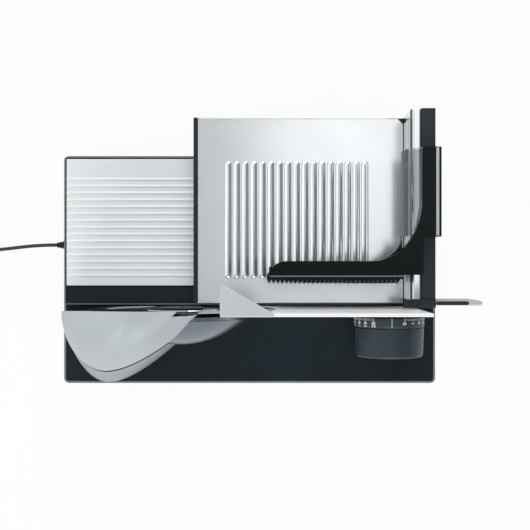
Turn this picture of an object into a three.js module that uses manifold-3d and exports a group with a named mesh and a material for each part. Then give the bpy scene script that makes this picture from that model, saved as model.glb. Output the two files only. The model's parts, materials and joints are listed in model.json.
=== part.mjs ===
// Electric food slicer with a sliding carriage, a belt-driven round blade and an adjustable stop plate.
// Millimetres, +Z up, +X towards the operator, +Y towards the carriage side.
import * as THREE from "three";
import { mergeVertices } from "three/addons/utils/BufferGeometryUtils.js";
import Module from "manifold-3d";

const wasm = await Module();
wasm.setup();

// Clearances
const gap = 0.3;
const runningGap = 1;

// Base housing, trim, bottom cover and feet
const baseLength = 371;
const baseWidth = 227;
const baseCorner = 5;
const footHeight = 8;
const footRadius = 10;
const housingHeight = 37;
const housingWall = 3;
const housingTop = 3;
const trimWidth = 2;
const trimHeight = 3;
const coverThickness = 3;
const bossRadius = 6;
const bossInset = 16;
const screwRadius = 1.8;
const screwLength = 20;

// Carriage bed and ribbed plate on the base
const bedHeight = 7.7;
const grooveDepth = 4;
const grooveHeight = 3.4;
const grooveAboveBase = 2.6;
const ribPlateThickness = 1.2;
const ribPlateSideMargin = 4.5;
const ribPlateFrontY = -15.8;
const ribPlateBackMargin = 4.1;
const bedRibCount = 15;
const bedRibPitch = 6.8;
const bedRibWidth = 3;
const bedRibHeight = 0.6;
const bedRibFirstY = -6;

// Blade and its drive
const bladeDiameter = 170;
const bladeThickness = 1.4;
const bladeBevel = 13;
const bladeX = -60;
const bladeFloorGap = 3;
const cutPlaneY = -35.5;
const shaftRadius = 5;
const flangeRadius = 18;
const flangeThickness = 2.2;
const lockRadius = 20;
const lockThickness = 1.4;
const lockStemRadius = 3;
const lockStemLength = 10;
const slotWidth = 2;
const slotDepth = 0.7;
const pocketDepth = 4.5;
const drivePlateThickness = 3;
const bearingWidth = 4;
const frontBearingRadius = 11;
const rearBearingRadius = 10;
const pulleyRadius = 38;
const pulleyWidth = 5;
const motorPulleyRadius = 9;
const beltThickness = 2.5;
const bracketThickness = 3;
const bracketHeadRadius = 16;
const bracketReach = 45;
const bracketFootDepth = 10;
const motorX = -130;
const motorAboveBase = 30;
const motorRadius = 25;
const motorLength = 30.5;
const motorWall = 2;
const armatureRadius = 18;
const rotorShaftRadius = 4;
const caseRadius = 60;
const caseDepth = 23.7;
const caseWall = 2.5;
const caseRings = 7;
const caseSides = 40;

// Motor tower: its outline shrinks from the foot to the seam, then closes as a dome
const towerWall = 3;
const towerFootLeft = -184;
const towerFootWidth = 142.4;
const towerFootDepth = 71;
const towerFootFrontY = -41.5;
const towerSeamLeft = -165.3;
const towerSeamWidth = 130;
const towerSeamDepth = 54.3;
const towerSeamFrontY = -36.4;
const towerSeamHeight = 105;
const towerCapHeight = 76;
const towerCapX = -95;
const towerCapFrontY = -33.5;
const towerBelly = 0.305;
const towerSeamGap = 0.5;

// Stop plate, its carrier and the thickness drive
const stopLeft = -21.8;
const stopKnobMargin = 22.3;
const stopThickness = 3;
const stopTravel = 20;
const stopBladeGap = 3;
const fingerGuardThickness = 3;
const fingerGuardReach = 25.2;
const fingerGuardRight = 22.4;
const fingerGuardCorner = 4;
const knobInset = 52.6;
const knobAboveBase = 50;
const gearTeeth = 44;
const pinionTeeth = 10;
const gearModule = 1.5;
const gearBacklash = 0.2;
const gearWidth = 2.9;
const knobRadius = 34;
const knobEndRadius = 31;
const scaleWidth = 9.5;
const scaleThickness = 6;
const knobLength = 27.7;
const knobEdge = 2;
const journalRadius = 14;
const journalLength = 28;
const carrierThickness = 2.2;
const carrierWidth = 42;
const legWidth = 11;
const legDepth = 11;
const legOffset = 22;
const guideRodRadius = 4;
const guideRodDrop = 17;
const rodBlockThickness = 7.5;
const rodBlockWidth = 58;
const screwDriveRadius = 3.5;
const nutWidth = 18;
const nutThickness = 7;
const nutWall = 1.5;

// Carriage
const trayLeft = -53.9;
const trayRight = 149.1;
const trayFrontY = -32.3;
const trayBackY = 147.5;
const trayThickness = 2;
const frameHeight = 15.7;
const frameWall = 3;
const edgeBarWidth = 4;
const edgeBarHeight = 9;
const trayRibCount = 17;
const trayRibPitch = 8.33;
const trayRibWidth = 4.2;
const trayRibHeight = 1.2;
const trayRibFirstX = -18.2;
const trayRibFrontY = -9;
const trayRibBackY = 105;
const padMargin = 8;
const padWidth = 10;
const shoeWidth = 22;
const shoeThickness = 4;
const shoeSpread = 120;
const shoeOffset = 14;
const wallHeight = 51;
const wallThickness = 3;
const railWidth = 7.4;
const railHeight = 4.7;
const sideBarWidth = 13;
const sideBarWall = 2.5;
const thumbGuardRight = 213.5;
const thumbGuardThickness = 4.2;
const thumbStripLength = 30;
const thumbStripHeight = 1.4;

// Food holder on the carriage wall
const sleeveFrontY = 30.3;
const sleeveLength = 81;
const sleeveTop = 10;
const sleeveInnerLeg = 8.5;
const sleeveOuterLeg = 3;
const sleeveDrop = 26;
const armLeft = 17.2;
const armFrontY = -4.4;
const armBackY = 9.9;
const armSlant = 10;
const armTopHeight = 22;
const armPlateThickness = 7;
const armSweepX = 34;
const toothPitch = 2.8;
const toothDepth = 4;
const toothBacking = 3;

// Buttons, switch body and terminal block
const buttonRadius = 8;
const buttonRodMargin = 19.9;
const buttonSpacing = 24;
const buttonLength = 5.5;
const buttonRecess = 0.5;
const buttonTravel = 2.5;
const switchDepth = 16;
const switchHeight = 22;
const terminalLength = 30;
const terminalWidth = 20;
const terminalHeight = 16;

// Mains lead: strain relief, lead on the floor, coil and plug
const cordRadius = 1.8;
const cordExitY = 25;
const cordExitZ = 20;
const reliefRadius = 5;
const reliefLength = 12;
const coilRadius = 21.5;
const coilWidth = 17.8;
const coilHeight = 7.4;
const coilX = -294.5;
const coilY = -8.6;
const coilLift = 0.3;
const plugLength = 38;
const plugWidth = 35;
const plugHeight = 13.6;
const plugCorner = 6;
const plugX = -330;
const pinRadius = 2;
const pinLength = 19;
const pinSpacing = 19;

// Places that follow from the sizes above
const baseLeft = -baseLength / 2;
const baseRight = baseLength / 2;
const baseFrontY = -baseWidth / 2;
const baseBackY = baseWidth / 2;
const baseTop = footHeight + housingHeight;
const ceilingZ = baseTop - housingTop;
const coverTop = footHeight + coverThickness;
const shoulderZ = baseTop - trimHeight - gap;
const topInset = trimWidth + gap;
const cavityInset = topInset + housingWall;
const bedBottom = baseTop + gap;
const bedTop = bedBottom + bedHeight;
const ribPlateBackY = baseBackY - ribPlateBackMargin;
const bedFrontY = cutPlaneY + runningGap;
const bedBackY = baseBackY - topInset;
const ribPlateTop = bedTop + gap + ribPlateThickness;
const bladeRadius = bladeDiameter / 2;
const bladeZ = baseTop + bladeFloorGap + bladeRadius;
const pocketY = cutPlaneY - pocketDepth;
const drivePlateFrontY = pocketY - gap;
const drivePlateBackY = drivePlateFrontY - drivePlateThickness;
const towerInnerFrontY = pocketY - towerWall;
const pulleyFrontY = drivePlateFrontY - bearingWidth - gap;
const pulleyBackY = pulleyFrontY - pulleyWidth;
const bracketFrontY = pulleyBackY - runningGap - gap;
const bracketBackY = bracketFrontY - bracketThickness;
const motorFrontY = bracketBackY - gap;
const motorBackY = motorFrontY - motorLength;
const motorZ = baseTop + motorAboveBase;
const towerBottom = baseTop + gap;
const towerSeamZ = towerBottom + towerSeamHeight;
const stopBackY = cutPlaneY - stopThickness;
const stopBottom = baseTop + runningGap * 2;
const stopReach = bladeX - stopLeft;
const stopTop = bladeZ + Math.sqrt((bladeRadius + runningGap * 2) ** 2 - stopReach ** 2);
const knobX = baseRight - knobInset;
const knobZ = baseTop + knobAboveBase;
const stopRight = knobX + stopKnobMargin;
const buttonX = knobX - rodBlockWidth / 2 - buttonRodMargin - buttonSpacing;
const carrierFrontY = stopBackY - gap;
const carrierBackY = carrierFrontY - carrierThickness;
const gearFrontY = carrierBackY - gap;
const gearBackY = gearFrontY - gearWidth;
const scaleFrontY = gearBackY - gap;
const scaleBackY = scaleFrontY - scaleWidth;
const knobFrontY = scaleBackY - gap;
const knobBackY = knobFrontY - knobLength;
const journalBackY = carrierBackY - journalLength;
const pinionZ = knobZ - (gearModule * (gearTeeth + pinionTeeth)) / 2 - gearBacklash;
const guideRodZ = baseTop - guideRodDrop;
const legBackY = carrierFrontY - legDepth;
const rodRearY = carrierFrontY + runningGap * 3;
const nutFrontY = gearBackY - stopTravel - runningGap * 6;
const leadScrewBackY = nutFrontY - nutThickness - runningGap * 5;
const rodFrontY = legBackY - stopTravel - runningGap * 20;
const frameBottom = ribPlateTop + bedRibHeight + runningGap * 2;
const frameTop = frameBottom + frameHeight;
const trayBottom = frameTop + gap;
const trayTop = trayBottom + trayThickness;
const wallFrontY = trayFrontY + thumbGuardThickness + gap;
const wallLeft = trayRight + gap * 3;
const wallTop = trayTop + wallHeight;
const railTop = wallTop + gap + railHeight;
const sideBarLeft = wallLeft + railWidth + gap;
const sideBarRight = sideBarLeft + sideBarWidth;
const frameRight = sideBarRight;
const sleeveBackY = sleeveFrontY + sleeveLength;
const sleeveLeft = wallLeft - runningGap - sleeveInnerLeg;
const sleeveRight = sideBarRight + runningGap + sleeveOuterLeg;
const sleeveBottom = railTop + gap;
const sleeveTopZ = sleeveBottom + sleeveTop;
const armRight = sleeveLeft - gap;
const armBottom = trayTop + trayRibHeight + runningGap * 2;
const sideWallInnerX = baseLeft + cavityInset;
const reliefEndX = baseLeft - reliefLength;

// The origin is the middle of the footprint of everything but the mains lead
const originX = (baseLeft + thumbGuardRight) / 2;
const originY = (baseFrontY + trayBackY) / 2;

// Solids from geometry, and geometry back from solids
function solid(geometry) {
  const bare = new THREE.BufferGeometry();
  const source = geometry.index ? geometry.toNonIndexed() : geometry;
  bare.setAttribute("position", source.getAttribute("position"));
  const merged = mergeVertices(bare, 1e-4);
  const corners = merged.index.array;
  const kept = [];
  for (let i = 0; i < corners.length; i += 3) {
    const [a, b, c] = corners.subarray(i, i + 3);
    if (a !== b && b !== c && c !== a) kept.push(a, b, c);
  }
  const vertProperties = merged.getAttribute("position").array;
  return new wasm.Manifold(new wasm.Mesh({ numProp: 3, vertProperties, triVerts: new Uint32Array(kept) }));
}

function geometryOf(body) {
  const mesh = body.getMesh();
  const geometry = new THREE.BufferGeometry();
  geometry.setAttribute("position", new THREE.BufferAttribute(new Float32Array(mesh.vertProperties), 3));
  geometry.setIndex(new THREE.BufferAttribute(new Uint32Array(mesh.triVerts), 1));
  const flat = geometry.toNonIndexed();
  flat.computeVertexNormals();
  return flat;
}

// Boxes, plates and rods placed by their limits
function block(x0, x1, y0, y1, z0, z1) {
  const geometry = new THREE.BoxGeometry(x1 - x0, y1 - y0, z1 - z0);
  return solid(geometry.translate((x0 + x1) / 2, (y0 + y1) / 2, (z0 + z1) / 2));
}

function extruded(shape, depth, curveSegments) {
  return new THREE.ExtrudeGeometry(shape, { depth, bevelEnabled: false, curveSegments });
}

// A shape in X and Y, as thick as z0 to z1
function plate(shape, z0, z1, curveSegments = 3) {
  return solid(extruded(shape, z1 - z0, curveSegments).translate(0, 0, z0));
}

// A shape in X and Z, as thick as y0 to y1
function panel(shape, y0, y1, curveSegments = 16) {
  return solid(extruded(shape, y1 - y0, curveSegments).rotateX(Math.PI / 2).translate(0, y1, 0));
}

function rodY(x, z, radius, y0, y1, sides = 24) {
  const geometry = new THREE.CylinderGeometry(radius, radius, y1 - y0, sides);
  return solid(geometry.translate(x, (y0 + y1) / 2, z));
}

function rodZ(x, y, radius, z0, z1, sides = 14) {
  const geometry = new THREE.CylinderGeometry(radius, radius, z1 - z0, sides);
  return solid(geometry.rotateX(Math.PI / 2).translate(x, y, (z0 + z1) / 2));
}

function rodX(y, z, radius, x0, x1, sides = 16) {
  const geometry = new THREE.CylinderGeometry(radius, radius, x1 - x0, sides);
  return solid(geometry.rotateZ(Math.PI / 2).translate((x0 + x1) / 2, y, z));
}

// A profile of [radius, y] pairs turned about an axis along Y
function turned(profile, x, z, sides = 48) {
  const points = profile.map(([radius, y]) => new THREE.Vector2(radius, y));
  return solid(new THREE.LatheGeometry(points, sides).translate(x, 0, z));
}

function polygon(points) {
  return new THREE.Shape(points.map(([x, y]) => new THREE.Vector2(x, y)));
}

function roundedRectangle(x0, x1, y0, y1, radius) {
  const shape = new THREE.Shape();
  shape.moveTo(x0 + radius, y0);
  shape.lineTo(x1 - radius, y0);
  shape.absarc(x1 - radius, y0 + radius, radius, -Math.PI / 2, 0, false);
  shape.lineTo(x1, y1 - radius);
  shape.absarc(x1 - radius, y1 - radius, radius, 0, Math.PI / 2, false);
  shape.lineTo(x0 + radius, y1);
  shape.absarc(x0 + radius, y1 - radius, radius, Math.PI / 2, Math.PI, false);
  shape.lineTo(x0, y0 + radius);
  shape.absarc(x0 + radius, y0 + radius, radius, Math.PI, 1.5 * Math.PI, false);
  return shape;
}

// The outline of a belt around two pulleys
function beltOutline(x0, z0, radius0, x1, z1, radius1) {
  const along = Math.atan2(z1 - z0, x1 - x0);
  const spread = Math.acos((radius0 - radius1) / Math.hypot(x1 - x0, z1 - z0));
  const shape = new THREE.Shape();
  shape.absarc(x0, z0, radius0, along + spread, along - spread + 2 * Math.PI, false);
  shape.absarc(x1, z1, radius1, along - spread, along + spread, false);
  return shape;
}

// A spur gear outline with one tooth centred at the start angle
function gearOutline(x, z, teeth, start) {
  const pitchRadius = (gearModule * teeth) / 2;
  const tip = pitchRadius + 0.8 * gearModule;
  const root = pitchRadius - 1.1 * gearModule;
  const tipHalf = (0.26 * gearModule) / tip;
  const rootHalf = (0.85 * gearModule) / root;
  const points = [];
  for (let i = 0; i < teeth; i += 1) {
    const middle = start + (2 * Math.PI * i) / teeth;
    for (const [radius, turn] of [[root, -rootHalf], [tip, -tipHalf], [tip, tipHalf], [root, rootHalf]]) {
      points.push([x + radius * Math.cos(middle + turn), z + radius * Math.sin(middle + turn)]);
    }
  }
  return polygon(points);
}

const assembly = new THREE.Group();

function addPart(name, body, color, roughness, metalness) {
  const material = new THREE.MeshStandardMaterial({ color, roughness, metalness });
  const mesh = new THREE.Mesh(geometryOf(body), material);
  mesh.name = name;
  assembly.add(mesh);
}

const corners = [[-1, -1], [1, -1], [1, 1], [-1, 1]];

function baseOutline(inset) {
  const radius = Math.max(baseCorner - inset, 1);
  return roundedRectangle(baseLeft + inset, baseRight - inset, baseFrontY + inset, baseBackY - inset, radius);
}

function cornerPlace([sideX, sideY], inset) {
  return [sideX * (baseRight - inset), sideY * (baseBackY - inset)];
}

const legXs = [knobX - legOffset, knobX + legOffset];
const buttonXs = [buttonX, buttonX + buttonSpacing];
const buttonZ = (coverTop + ceilingZ) / 2;

// Base housing: a tub that is open below, with screw bosses, slots for the stop legs and button holes
function makeHousing() {
  const lower = plate(baseOutline(0), footHeight, shoulderZ);
  const upper = plate(baseOutline(topInset), footHeight, baseTop);
  let body = lower.add(upper).subtract(plate(baseOutline(cavityInset), footHeight - 1, ceilingZ));
  for (const corner of corners) {
    const [x, y] = cornerPlace(corner, bossInset);
    body = body.add(rodZ(x, y, bossRadius, coverTop + gap, baseTop - housingTop / 2));
  }
  for (const corner of corners) {
    const [x, y] = cornerPlace(corner, bossInset);
    body = body.subtract(rodZ(x, y, screwRadius + gap, coverTop, footHeight + screwLength + gap));
  }
  for (const x of legXs) {
    const half = legWidth / 2 + runningGap;
    const back = legBackY - stopTravel - runningGap;
    const front = carrierFrontY + runningGap;
    body = body.subtract(block(x - half, x + half, back, front, ceilingZ - 1, baseTop + 1));
  }
  for (const x of buttonXs) {
    body = body.subtract(rodY(x, buttonZ, buttonRadius + gap, baseFrontY - 1, baseFrontY + cavityInset + 1));
  }
  return body.subtract(rodX(cordExitY, cordExitZ, reliefRadius + gap, baseLeft - 1, sideWallInnerX + 1));
}

function makeTrim() {
  const shape = baseOutline(0);
  shape.holes.push(baseOutline(trimWidth));
  return plate(shape, shoulderZ + gap, baseTop);
}

function makeBottomCover() {
  let body = plate(baseOutline(cavityInset + gap), footHeight, coverTop);
  for (const corner of corners) {
    const [x, y] = cornerPlace(corner, bossInset);
    body = body.subtract(rodZ(x, y, screwRadius + gap, footHeight - 1, coverTop + 1));
  }
  return body;
}

// Rubber foot on a screw that holds the bottom cover
function makeFoot(corner) {
  const [x, y] = cornerPlace(corner, bossInset);
  const pad = rodZ(x, y, footRadius, 0, footHeight - gap);
  return pad.add(rodZ(x, y, screwRadius, footHeight - 1, footHeight + screwLength, 12));
}

// Bed under the carriage, with a guide groove along its back face
function makeBed() {
  const x0 = baseLeft + topInset;
  const outline = roundedRectangle(x0, -x0, bedFrontY, bedBackY, baseCorner - topInset);
  const body = plate(outline, bedBottom, bedTop);
  const grooveZ = baseTop + grooveAboveBase;
  const groove = block(x0 - 1, 1 - x0, bedBackY - grooveDepth, bedBackY + 1, grooveZ, grooveZ + grooveHeight);
  return body.subtract(groove);
}

function makeRibPlate() {
  const x0 = baseLeft + ribPlateSideMargin;
  let body = block(x0, -x0, ribPlateFrontY, ribPlateBackY, bedTop + gap, ribPlateTop);
  for (let i = 0; i < bedRibCount; i += 1) {
    const y = bedRibFirstY + i * bedRibPitch;
    const top = ribPlateTop + bedRibHeight;
    const rib = block(x0 + 2, -x0 - 2, y - bedRibWidth / 2, y + bedRibWidth / 2, bedTop + gap * 2, top);
    body = body.add(rib);
  }
  return body;
}

// Tower outline at a height, drawn in by an inset
function towerAt(z, inset) {
  const seamLeft = towerSeamLeft + inset;
  const seamWidth = towerSeamWidth - 2 * inset;
  const seamDepth = towerSeamDepth - inset;
  if (z <= towerSeamZ) {
    const t = (z - towerBottom) / towerSeamHeight;
    return {
      left: THREE.MathUtils.lerp(towerFootLeft + inset, seamLeft, t),
      width: THREE.MathUtils.lerp(towerFootWidth - 2 * inset, seamWidth, t),
      depth: THREE.MathUtils.lerp(towerFootDepth - inset, seamDepth, t),
      front: THREE.MathUtils.lerp(towerFootFrontY, towerSeamFrontY, t),
    };
  }
  const rise = Math.min((z - towerSeamZ) / (towerCapHeight - inset), 1);
  const shrink = Math.max(Math.sqrt(1 - rise * rise), 0.02);
  return {
    left: towerCapX + (seamLeft - towerCapX) * shrink,
    width: seamWidth * shrink,
    depth: seamDepth * shrink,
    front: THREE.MathUtils.lerp(towerSeamFrontY, towerCapFrontY, rise),
  };
}

// Half-moon outline in shares of the tower's width and depth
function towerOutline() {
  const shape = new THREE.Shape();
  shape.moveTo(0, 0);
  shape.bezierCurveTo(0, -0.55, towerBelly / 2, -1, towerBelly, -1);
  shape.bezierCurveTo(towerBelly + 0.165, -1, 0.75, -0.57, 1, 0);
  shape.closePath();
  return shape;
}

function towerLoft(levels, inset) {
  const steps = levels.length - 1;
  const options = { depth: steps, steps, bevelEnabled: false, curveSegments: 10 };
  const geometry = new THREE.ExtrudeGeometry(towerOutline(), options);
  const position = geometry.getAttribute("position");
  for (let i = 0; i < position.count; i += 1) {
    const z = levels[Math.round(position.getZ(i))];
    const { left, width, depth, front } = towerAt(z, inset);
    const across = left + position.getX(i) * width;
    position.setXYZ(i, across, front + position.getY(i) * depth, z);
  }
  return solid(geometry);
}

// Heights of the dome's rings above the seam
function capLevels(inset) {
  const steps = 7;
  return Array.from({ length: steps + 1 }, (_, i) => {
    return towerSeamZ + (towerCapHeight - inset) * Math.sin((i / steps) * (Math.PI / 2));
  });
}

// Curved side of the gear case, from its middle out to its rim
function caseCurve(radius, depth) {
  return Array.from({ length: caseRings + 1 }, (_, i) => {
    const share = i / caseRings;
    return [radius * share, drivePlateBackY - gap - depth * (1 - share * share)];
  });
}

// Hollow of the tower, behind its front wall
function towerInside() {
  const lower = [towerBottom - 1, towerSeamZ - 1];
  const hollow = towerLoft([...lower, ...capLevels(towerWall)], towerWall);
  return hollow.subtract(block(baseLeft, baseRight, towerInnerFrontY, 0, 0, towerSeamZ + towerCapHeight));
}

// Openings for the blade and for the gear case with its drive plate
function towerOpenings() {
  const blade = rodY(bladeX, bladeZ, bladeRadius + 2 * runningGap, pocketY, 0, 72);
  const curve = caseCurve(caseRadius + gap, caseDepth + gap);
  const hole = [...curve, [caseRadius + gap, pocketY + 1], [0, pocketY + 1]];
  return blade.add(turned(hole, bladeX, bladeZ, caseSides));
}

function makeTowerSkirt() {
  const outer = towerLoft([towerBottom, towerSeamZ - towerSeamGap], 0);
  return outer.subtract(towerInside()).subtract(towerOpenings());
}

function makeTowerCap() {
  const outer = towerLoft(capLevels(0), 0);
  return outer.subtract(towerInside()).subtract(towerOpenings());
}

// Round case behind the blade, open where it runs into the tower
function makeGearCase() {
  const inner = caseCurve(caseRadius - caseWall, caseDepth - caseWall).reverse();
  const dome = turned([...caseCurve(caseRadius, caseDepth), ...inner], bladeX, bladeZ, caseSides);
  return dome.subtract(towerInside());
}

function makeDrivePlate() {
  const disc = rodY(bladeX, bladeZ, caseRadius, drivePlateBackY, drivePlateFrontY, 48);
  const seat = frontBearingRadius + gap;
  return disc.subtract(rodY(bladeX, bladeZ, seat, drivePlateBackY - 1, drivePlateFrontY + 1));
}

// Motor bracket: a wall on a foot, with a head that carries the rear bearing
function makeMotorBracket() {
  const foot = towerBottom + gap;
  const left = motorX - motorRadius;
  const outline = polygon([
    [left, foot],
    [motorX + bracketReach, foot],
    [bladeX - bracketHeadRadius / 2, bladeZ - bracketHeadRadius / 2],
    [bladeX - bracketHeadRadius / 2, bladeZ + bracketHeadRadius / 2],
    [left, motorZ + motorRadius],
  ]);
  const wall = panel(outline, bracketBackY, bracketFrontY);
  const head = rodY(bladeX, bladeZ, bracketHeadRadius, bracketBackY, bracketFrontY);
  const footEnd = bracketBackY - bracketFootDepth;
  const right = motorX + motorRadius;
  const base = block(left, right, footEnd, bracketFrontY, foot, foot + bracketThickness);
  const shaftHole = rodY(motorX, motorZ, rotorShaftRadius + gap, bracketBackY - 1, bracketFrontY + 1);
  const bearingHole = rodY(bladeX, bladeZ, rearBearingRadius + gap, bracketBackY - 1, bracketFrontY + 1);
  return wall.add(head).add(base).subtract(shaftHole).subtract(bearingHole);
}

function makeBearing(radius, backY) {
  const bore = shaftRadius + gap;
  const frontY = backY + bearingWidth;
  const ring = [
    [bore, backY],
    [radius, backY],
    [radius, frontY],
    [bore, frontY],
    [bore, backY],
  ];
  return turned(ring, bladeX, bladeZ, 20);
}

function makeBlade() {
  const backY = cutPlaneY - bladeThickness;
  const bore = shaftRadius + 2 * gap;
  const edge = cutPlaneY - gap / 2;
  const profile = [
    [bore, backY],
    [bladeRadius - bladeBevel, backY],
    [bladeRadius, edge],
    [bladeRadius, cutPlaneY],
    [bore, cutPlaneY],
    [bore, backY],
  ];
  return turned(profile, bladeX, bladeZ, 60);
}

function makeBladeShaft() {
  const flangeFrontY = cutPlaneY - bladeThickness - gap;
  const flangeBackY = flangeFrontY - flangeThickness;
  const bore = lockStemRadius + gap;
  const profile = [
    [0, bracketBackY - runningGap],
    [shaftRadius, bracketBackY - runningGap],
    [shaftRadius, flangeBackY],
    [flangeRadius, flangeBackY],
    [flangeRadius, flangeFrontY],
    [shaftRadius, flangeFrontY],
    [shaftRadius, cutPlaneY - gap],
    [bore, cutPlaneY - gap],
    [bore, cutPlaneY - lockStemLength - gap],
    [0, cutPlaneY - lockStemLength - gap],
  ];
  return turned(profile, bladeX, bladeZ, 20);
}

// Coin-slot lock in the middle of the blade
function makeBladeLock() {
  const backY = cutPlaneY + gap;
  const frontY = backY + lockThickness;
  const profile = [
    [0, cutPlaneY - lockStemLength],
    [lockStemRadius, cutPlaneY - lockStemLength],
    [lockStemRadius, backY],
    [lockRadius, backY],
    [lockRadius, frontY],
    [0, frontY],
  ];
  const half = slotWidth / 2;
  const reach = lockRadius * 0.8;
  const slotFloorY = frontY - slotDepth;
  const slot = block(bladeX - half, bladeX + half, slotFloorY, frontY + 1, bladeZ - reach, bladeZ + reach);
  return turned(profile, bladeX, bladeZ, 32).subtract(slot);
}

function makeBladePulley() {
  const disc = rodY(bladeX, bladeZ, pulleyRadius, pulleyBackY, pulleyFrontY, 48);
  return disc.subtract(rodY(bladeX, bladeZ, shaftRadius + gap, pulleyBackY - 1, pulleyFrontY + 1));
}

function makeBelt() {
  const inner = [pulleyRadius + gap, motorPulleyRadius + gap];
  const outer = inner.map((radius) => radius + beltThickness);
  const y0 = pulleyBackY + gap;
  const y1 = pulleyFrontY - gap;
  const loop = panel(beltOutline(bladeX, bladeZ, outer[0], motorX, motorZ, outer[1]), y0, y1);
  const inside = beltOutline(bladeX, bladeZ, inner[0], motorX, motorZ, inner[1]);
  return loop.subtract(panel(inside, y0 - 1, y1 + 1));
}

function makeMotorCan() {
  const hole = rotorShaftRadius + gap;
  const inner = motorRadius - motorWall;
  const profile = [
    [hole, motorBackY],
    [motorRadius, motorBackY],
    [motorRadius, motorFrontY],
    [hole, motorFrontY],
    [hole, motorFrontY - motorWall],
    [inner, motorFrontY - motorWall],
    [inner, motorBackY + motorWall],
    [hole, motorBackY + motorWall],
    [hole, motorBackY],
  ];
  return turned(profile, motorX, motorZ, 28);
}

function makeRotor() {
  const clear = motorWall + 2 * runningGap;
  const profile = [
    [0, motorBackY + gap],
    [rotorShaftRadius, motorBackY + gap],
    [rotorShaftRadius, motorBackY + clear],
    [armatureRadius, motorBackY + clear],
    [armatureRadius, motorFrontY - clear],
    [rotorShaftRadius, motorFrontY - clear],
    [rotorShaftRadius, pulleyBackY],
    [motorPulleyRadius, pulleyBackY],
    [motorPulleyRadius, pulleyFrontY],
    [0, pulleyFrontY],
  ];
  return turned(profile, motorX, motorZ, 20);
}

// Stop plate with a round cut for the blade
function makeStopPlate() {
  const body = block(stopLeft, stopRight, stopBackY, cutPlaneY, stopBottom, stopTop);
  return body.subtract(rodY(bladeX, bladeZ, bladeRadius + stopBladeGap, stopBackY - 1, cutPlaneY + 1, 96));
}

function makeFingerGuard() {
  const frontY = cutPlaneY + fingerGuardReach;
  const slope = fingerGuardReach / (fingerGuardRight - stopLeft);
  const shape = new THREE.Shape();
  shape.moveTo(stopLeft, stopBackY);
  shape.lineTo(fingerGuardRight, stopBackY);
  shape.lineTo(fingerGuardRight, cutPlaneY);
  shape.lineTo(stopLeft + fingerGuardCorner, frontY - fingerGuardCorner * slope);
  shape.quadraticCurveTo(stopLeft, frontY, stopLeft, frontY - 2 * fingerGuardCorner);
  shape.closePath();
  return plate(shape, stopTop + gap, stopTop + gap + fingerGuardThickness, 6);
}

// Carrier behind the stop plate: journal for the knob and two legs that slide on the guide rods
function makeStopCarrier() {
  const half = carrierWidth / 2;
  const legTop = pinionZ + runningGap;
  const legBottom = guideRodZ - 2 * guideRodRadius;
  let body = block(knobX - half, knobX + half, carrierBackY, carrierFrontY, stopBottom, knobZ + half);
  body = body.add(rodY(knobX, knobZ, journalRadius, journalBackY, carrierFrontY, 40));
  for (const x of legXs) {
    const side = legWidth / 2;
    body = body.add(block(x - side, x + side, legBackY, carrierFrontY, legBottom, legTop));
  }
  for (const x of legXs) {
    body = body.subtract(rodY(x, guideRodZ, guideRodRadius + gap, legBackY - 1, carrierFrontY + 1, 24));
  }
  const screwHole = rodY(knobX, pinionZ, screwDriveRadius + gap, carrierBackY - 1, carrierFrontY + 1, 20);
  return body.subtract(screwHole);
}

function makeRodBlock(backY) {
  const half = rodBlockWidth / 2;
  const z0 = guideRodZ - 2 * guideRodRadius;
  const frontY = backY + rodBlockThickness;
  let body = block(knobX - half, knobX + half, backY, frontY, z0, ceilingZ - gap);
  for (const x of legXs) {
    body = body.subtract(rodY(x, guideRodZ, guideRodRadius + gap, backY - 1, frontY + 1, 24));
  }
  return body;
}

function makeKnobGear() {
  const start = -Math.PI / 2 + Math.PI / gearTeeth;
  const body = panel(gearOutline(knobX, knobZ, gearTeeth, start), gearBackY, gearFrontY);
  return body.subtract(rodY(knobX, knobZ, journalRadius + gap, gearBackY - 1, gearFrontY + 1, 40));
}

function makeScaleRing() {
  const inner = knobRadius - scaleThickness;
  const profile = [
    [inner, scaleBackY],
    [knobRadius, scaleBackY],
    [knobRadius, scaleFrontY],
    [inner, scaleFrontY],
    [inner, scaleBackY],
  ];
  return turned(profile, knobX, knobZ, 40);
}

function makeKnob() {
  const core = knobRadius - scaleThickness - gap;
  const bore = journalRadius + gap;
  const profile = [
    [0, knobBackY],
    [knobEndRadius - knobEdge, knobBackY],
    [knobEndRadius, knobBackY + knobEdge],
    [knobRadius - gap, knobFrontY],
    [core, knobFrontY],
    [core, scaleFrontY],
    [bore, scaleFrontY],
    [bore, journalBackY - gap],
    [0, journalBackY - gap],
  ];
  return turned(profile, knobX, knobZ, 40);
}

function makeLeadScrew() {
  const pinion = panel(gearOutline(knobX, pinionZ, pinionTeeth, Math.PI / 2), gearBackY, gearFrontY);
  return pinion.add(rodY(knobX, pinionZ, screwDriveRadius, leadScrewBackY, carrierFrontY - gap, 20));
}

function makeLeadNut() {
  const half = nutWidth / 2;
  const top = pinionZ + screwDriveRadius + nutWall;
  const body = block(knobX - half, knobX + half, nutFrontY - nutThickness, nutFrontY, bedBottom, top);
  const y0 = nutFrontY - nutThickness - 1;
  return body.subtract(rodY(knobX, pinionZ, screwDriveRadius + gap, y0, nutFrontY + 1, 20));
}

// Carriage frame: a shallow box that is open below
function makeCarriageFrame() {
  const x0 = trayLeft + edgeBarWidth + gap;
  const y0 = trayFrontY + gap;
  const y1 = trayBackY - gap;
  const outer = block(x0, frameRight, y0, y1, frameBottom, frameTop);
  const w = frameWall;
  return outer.subtract(block(x0 + w, frameRight - w, y0 + w, y1 - w, frameBottom - 1, frameTop - w));
}

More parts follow.
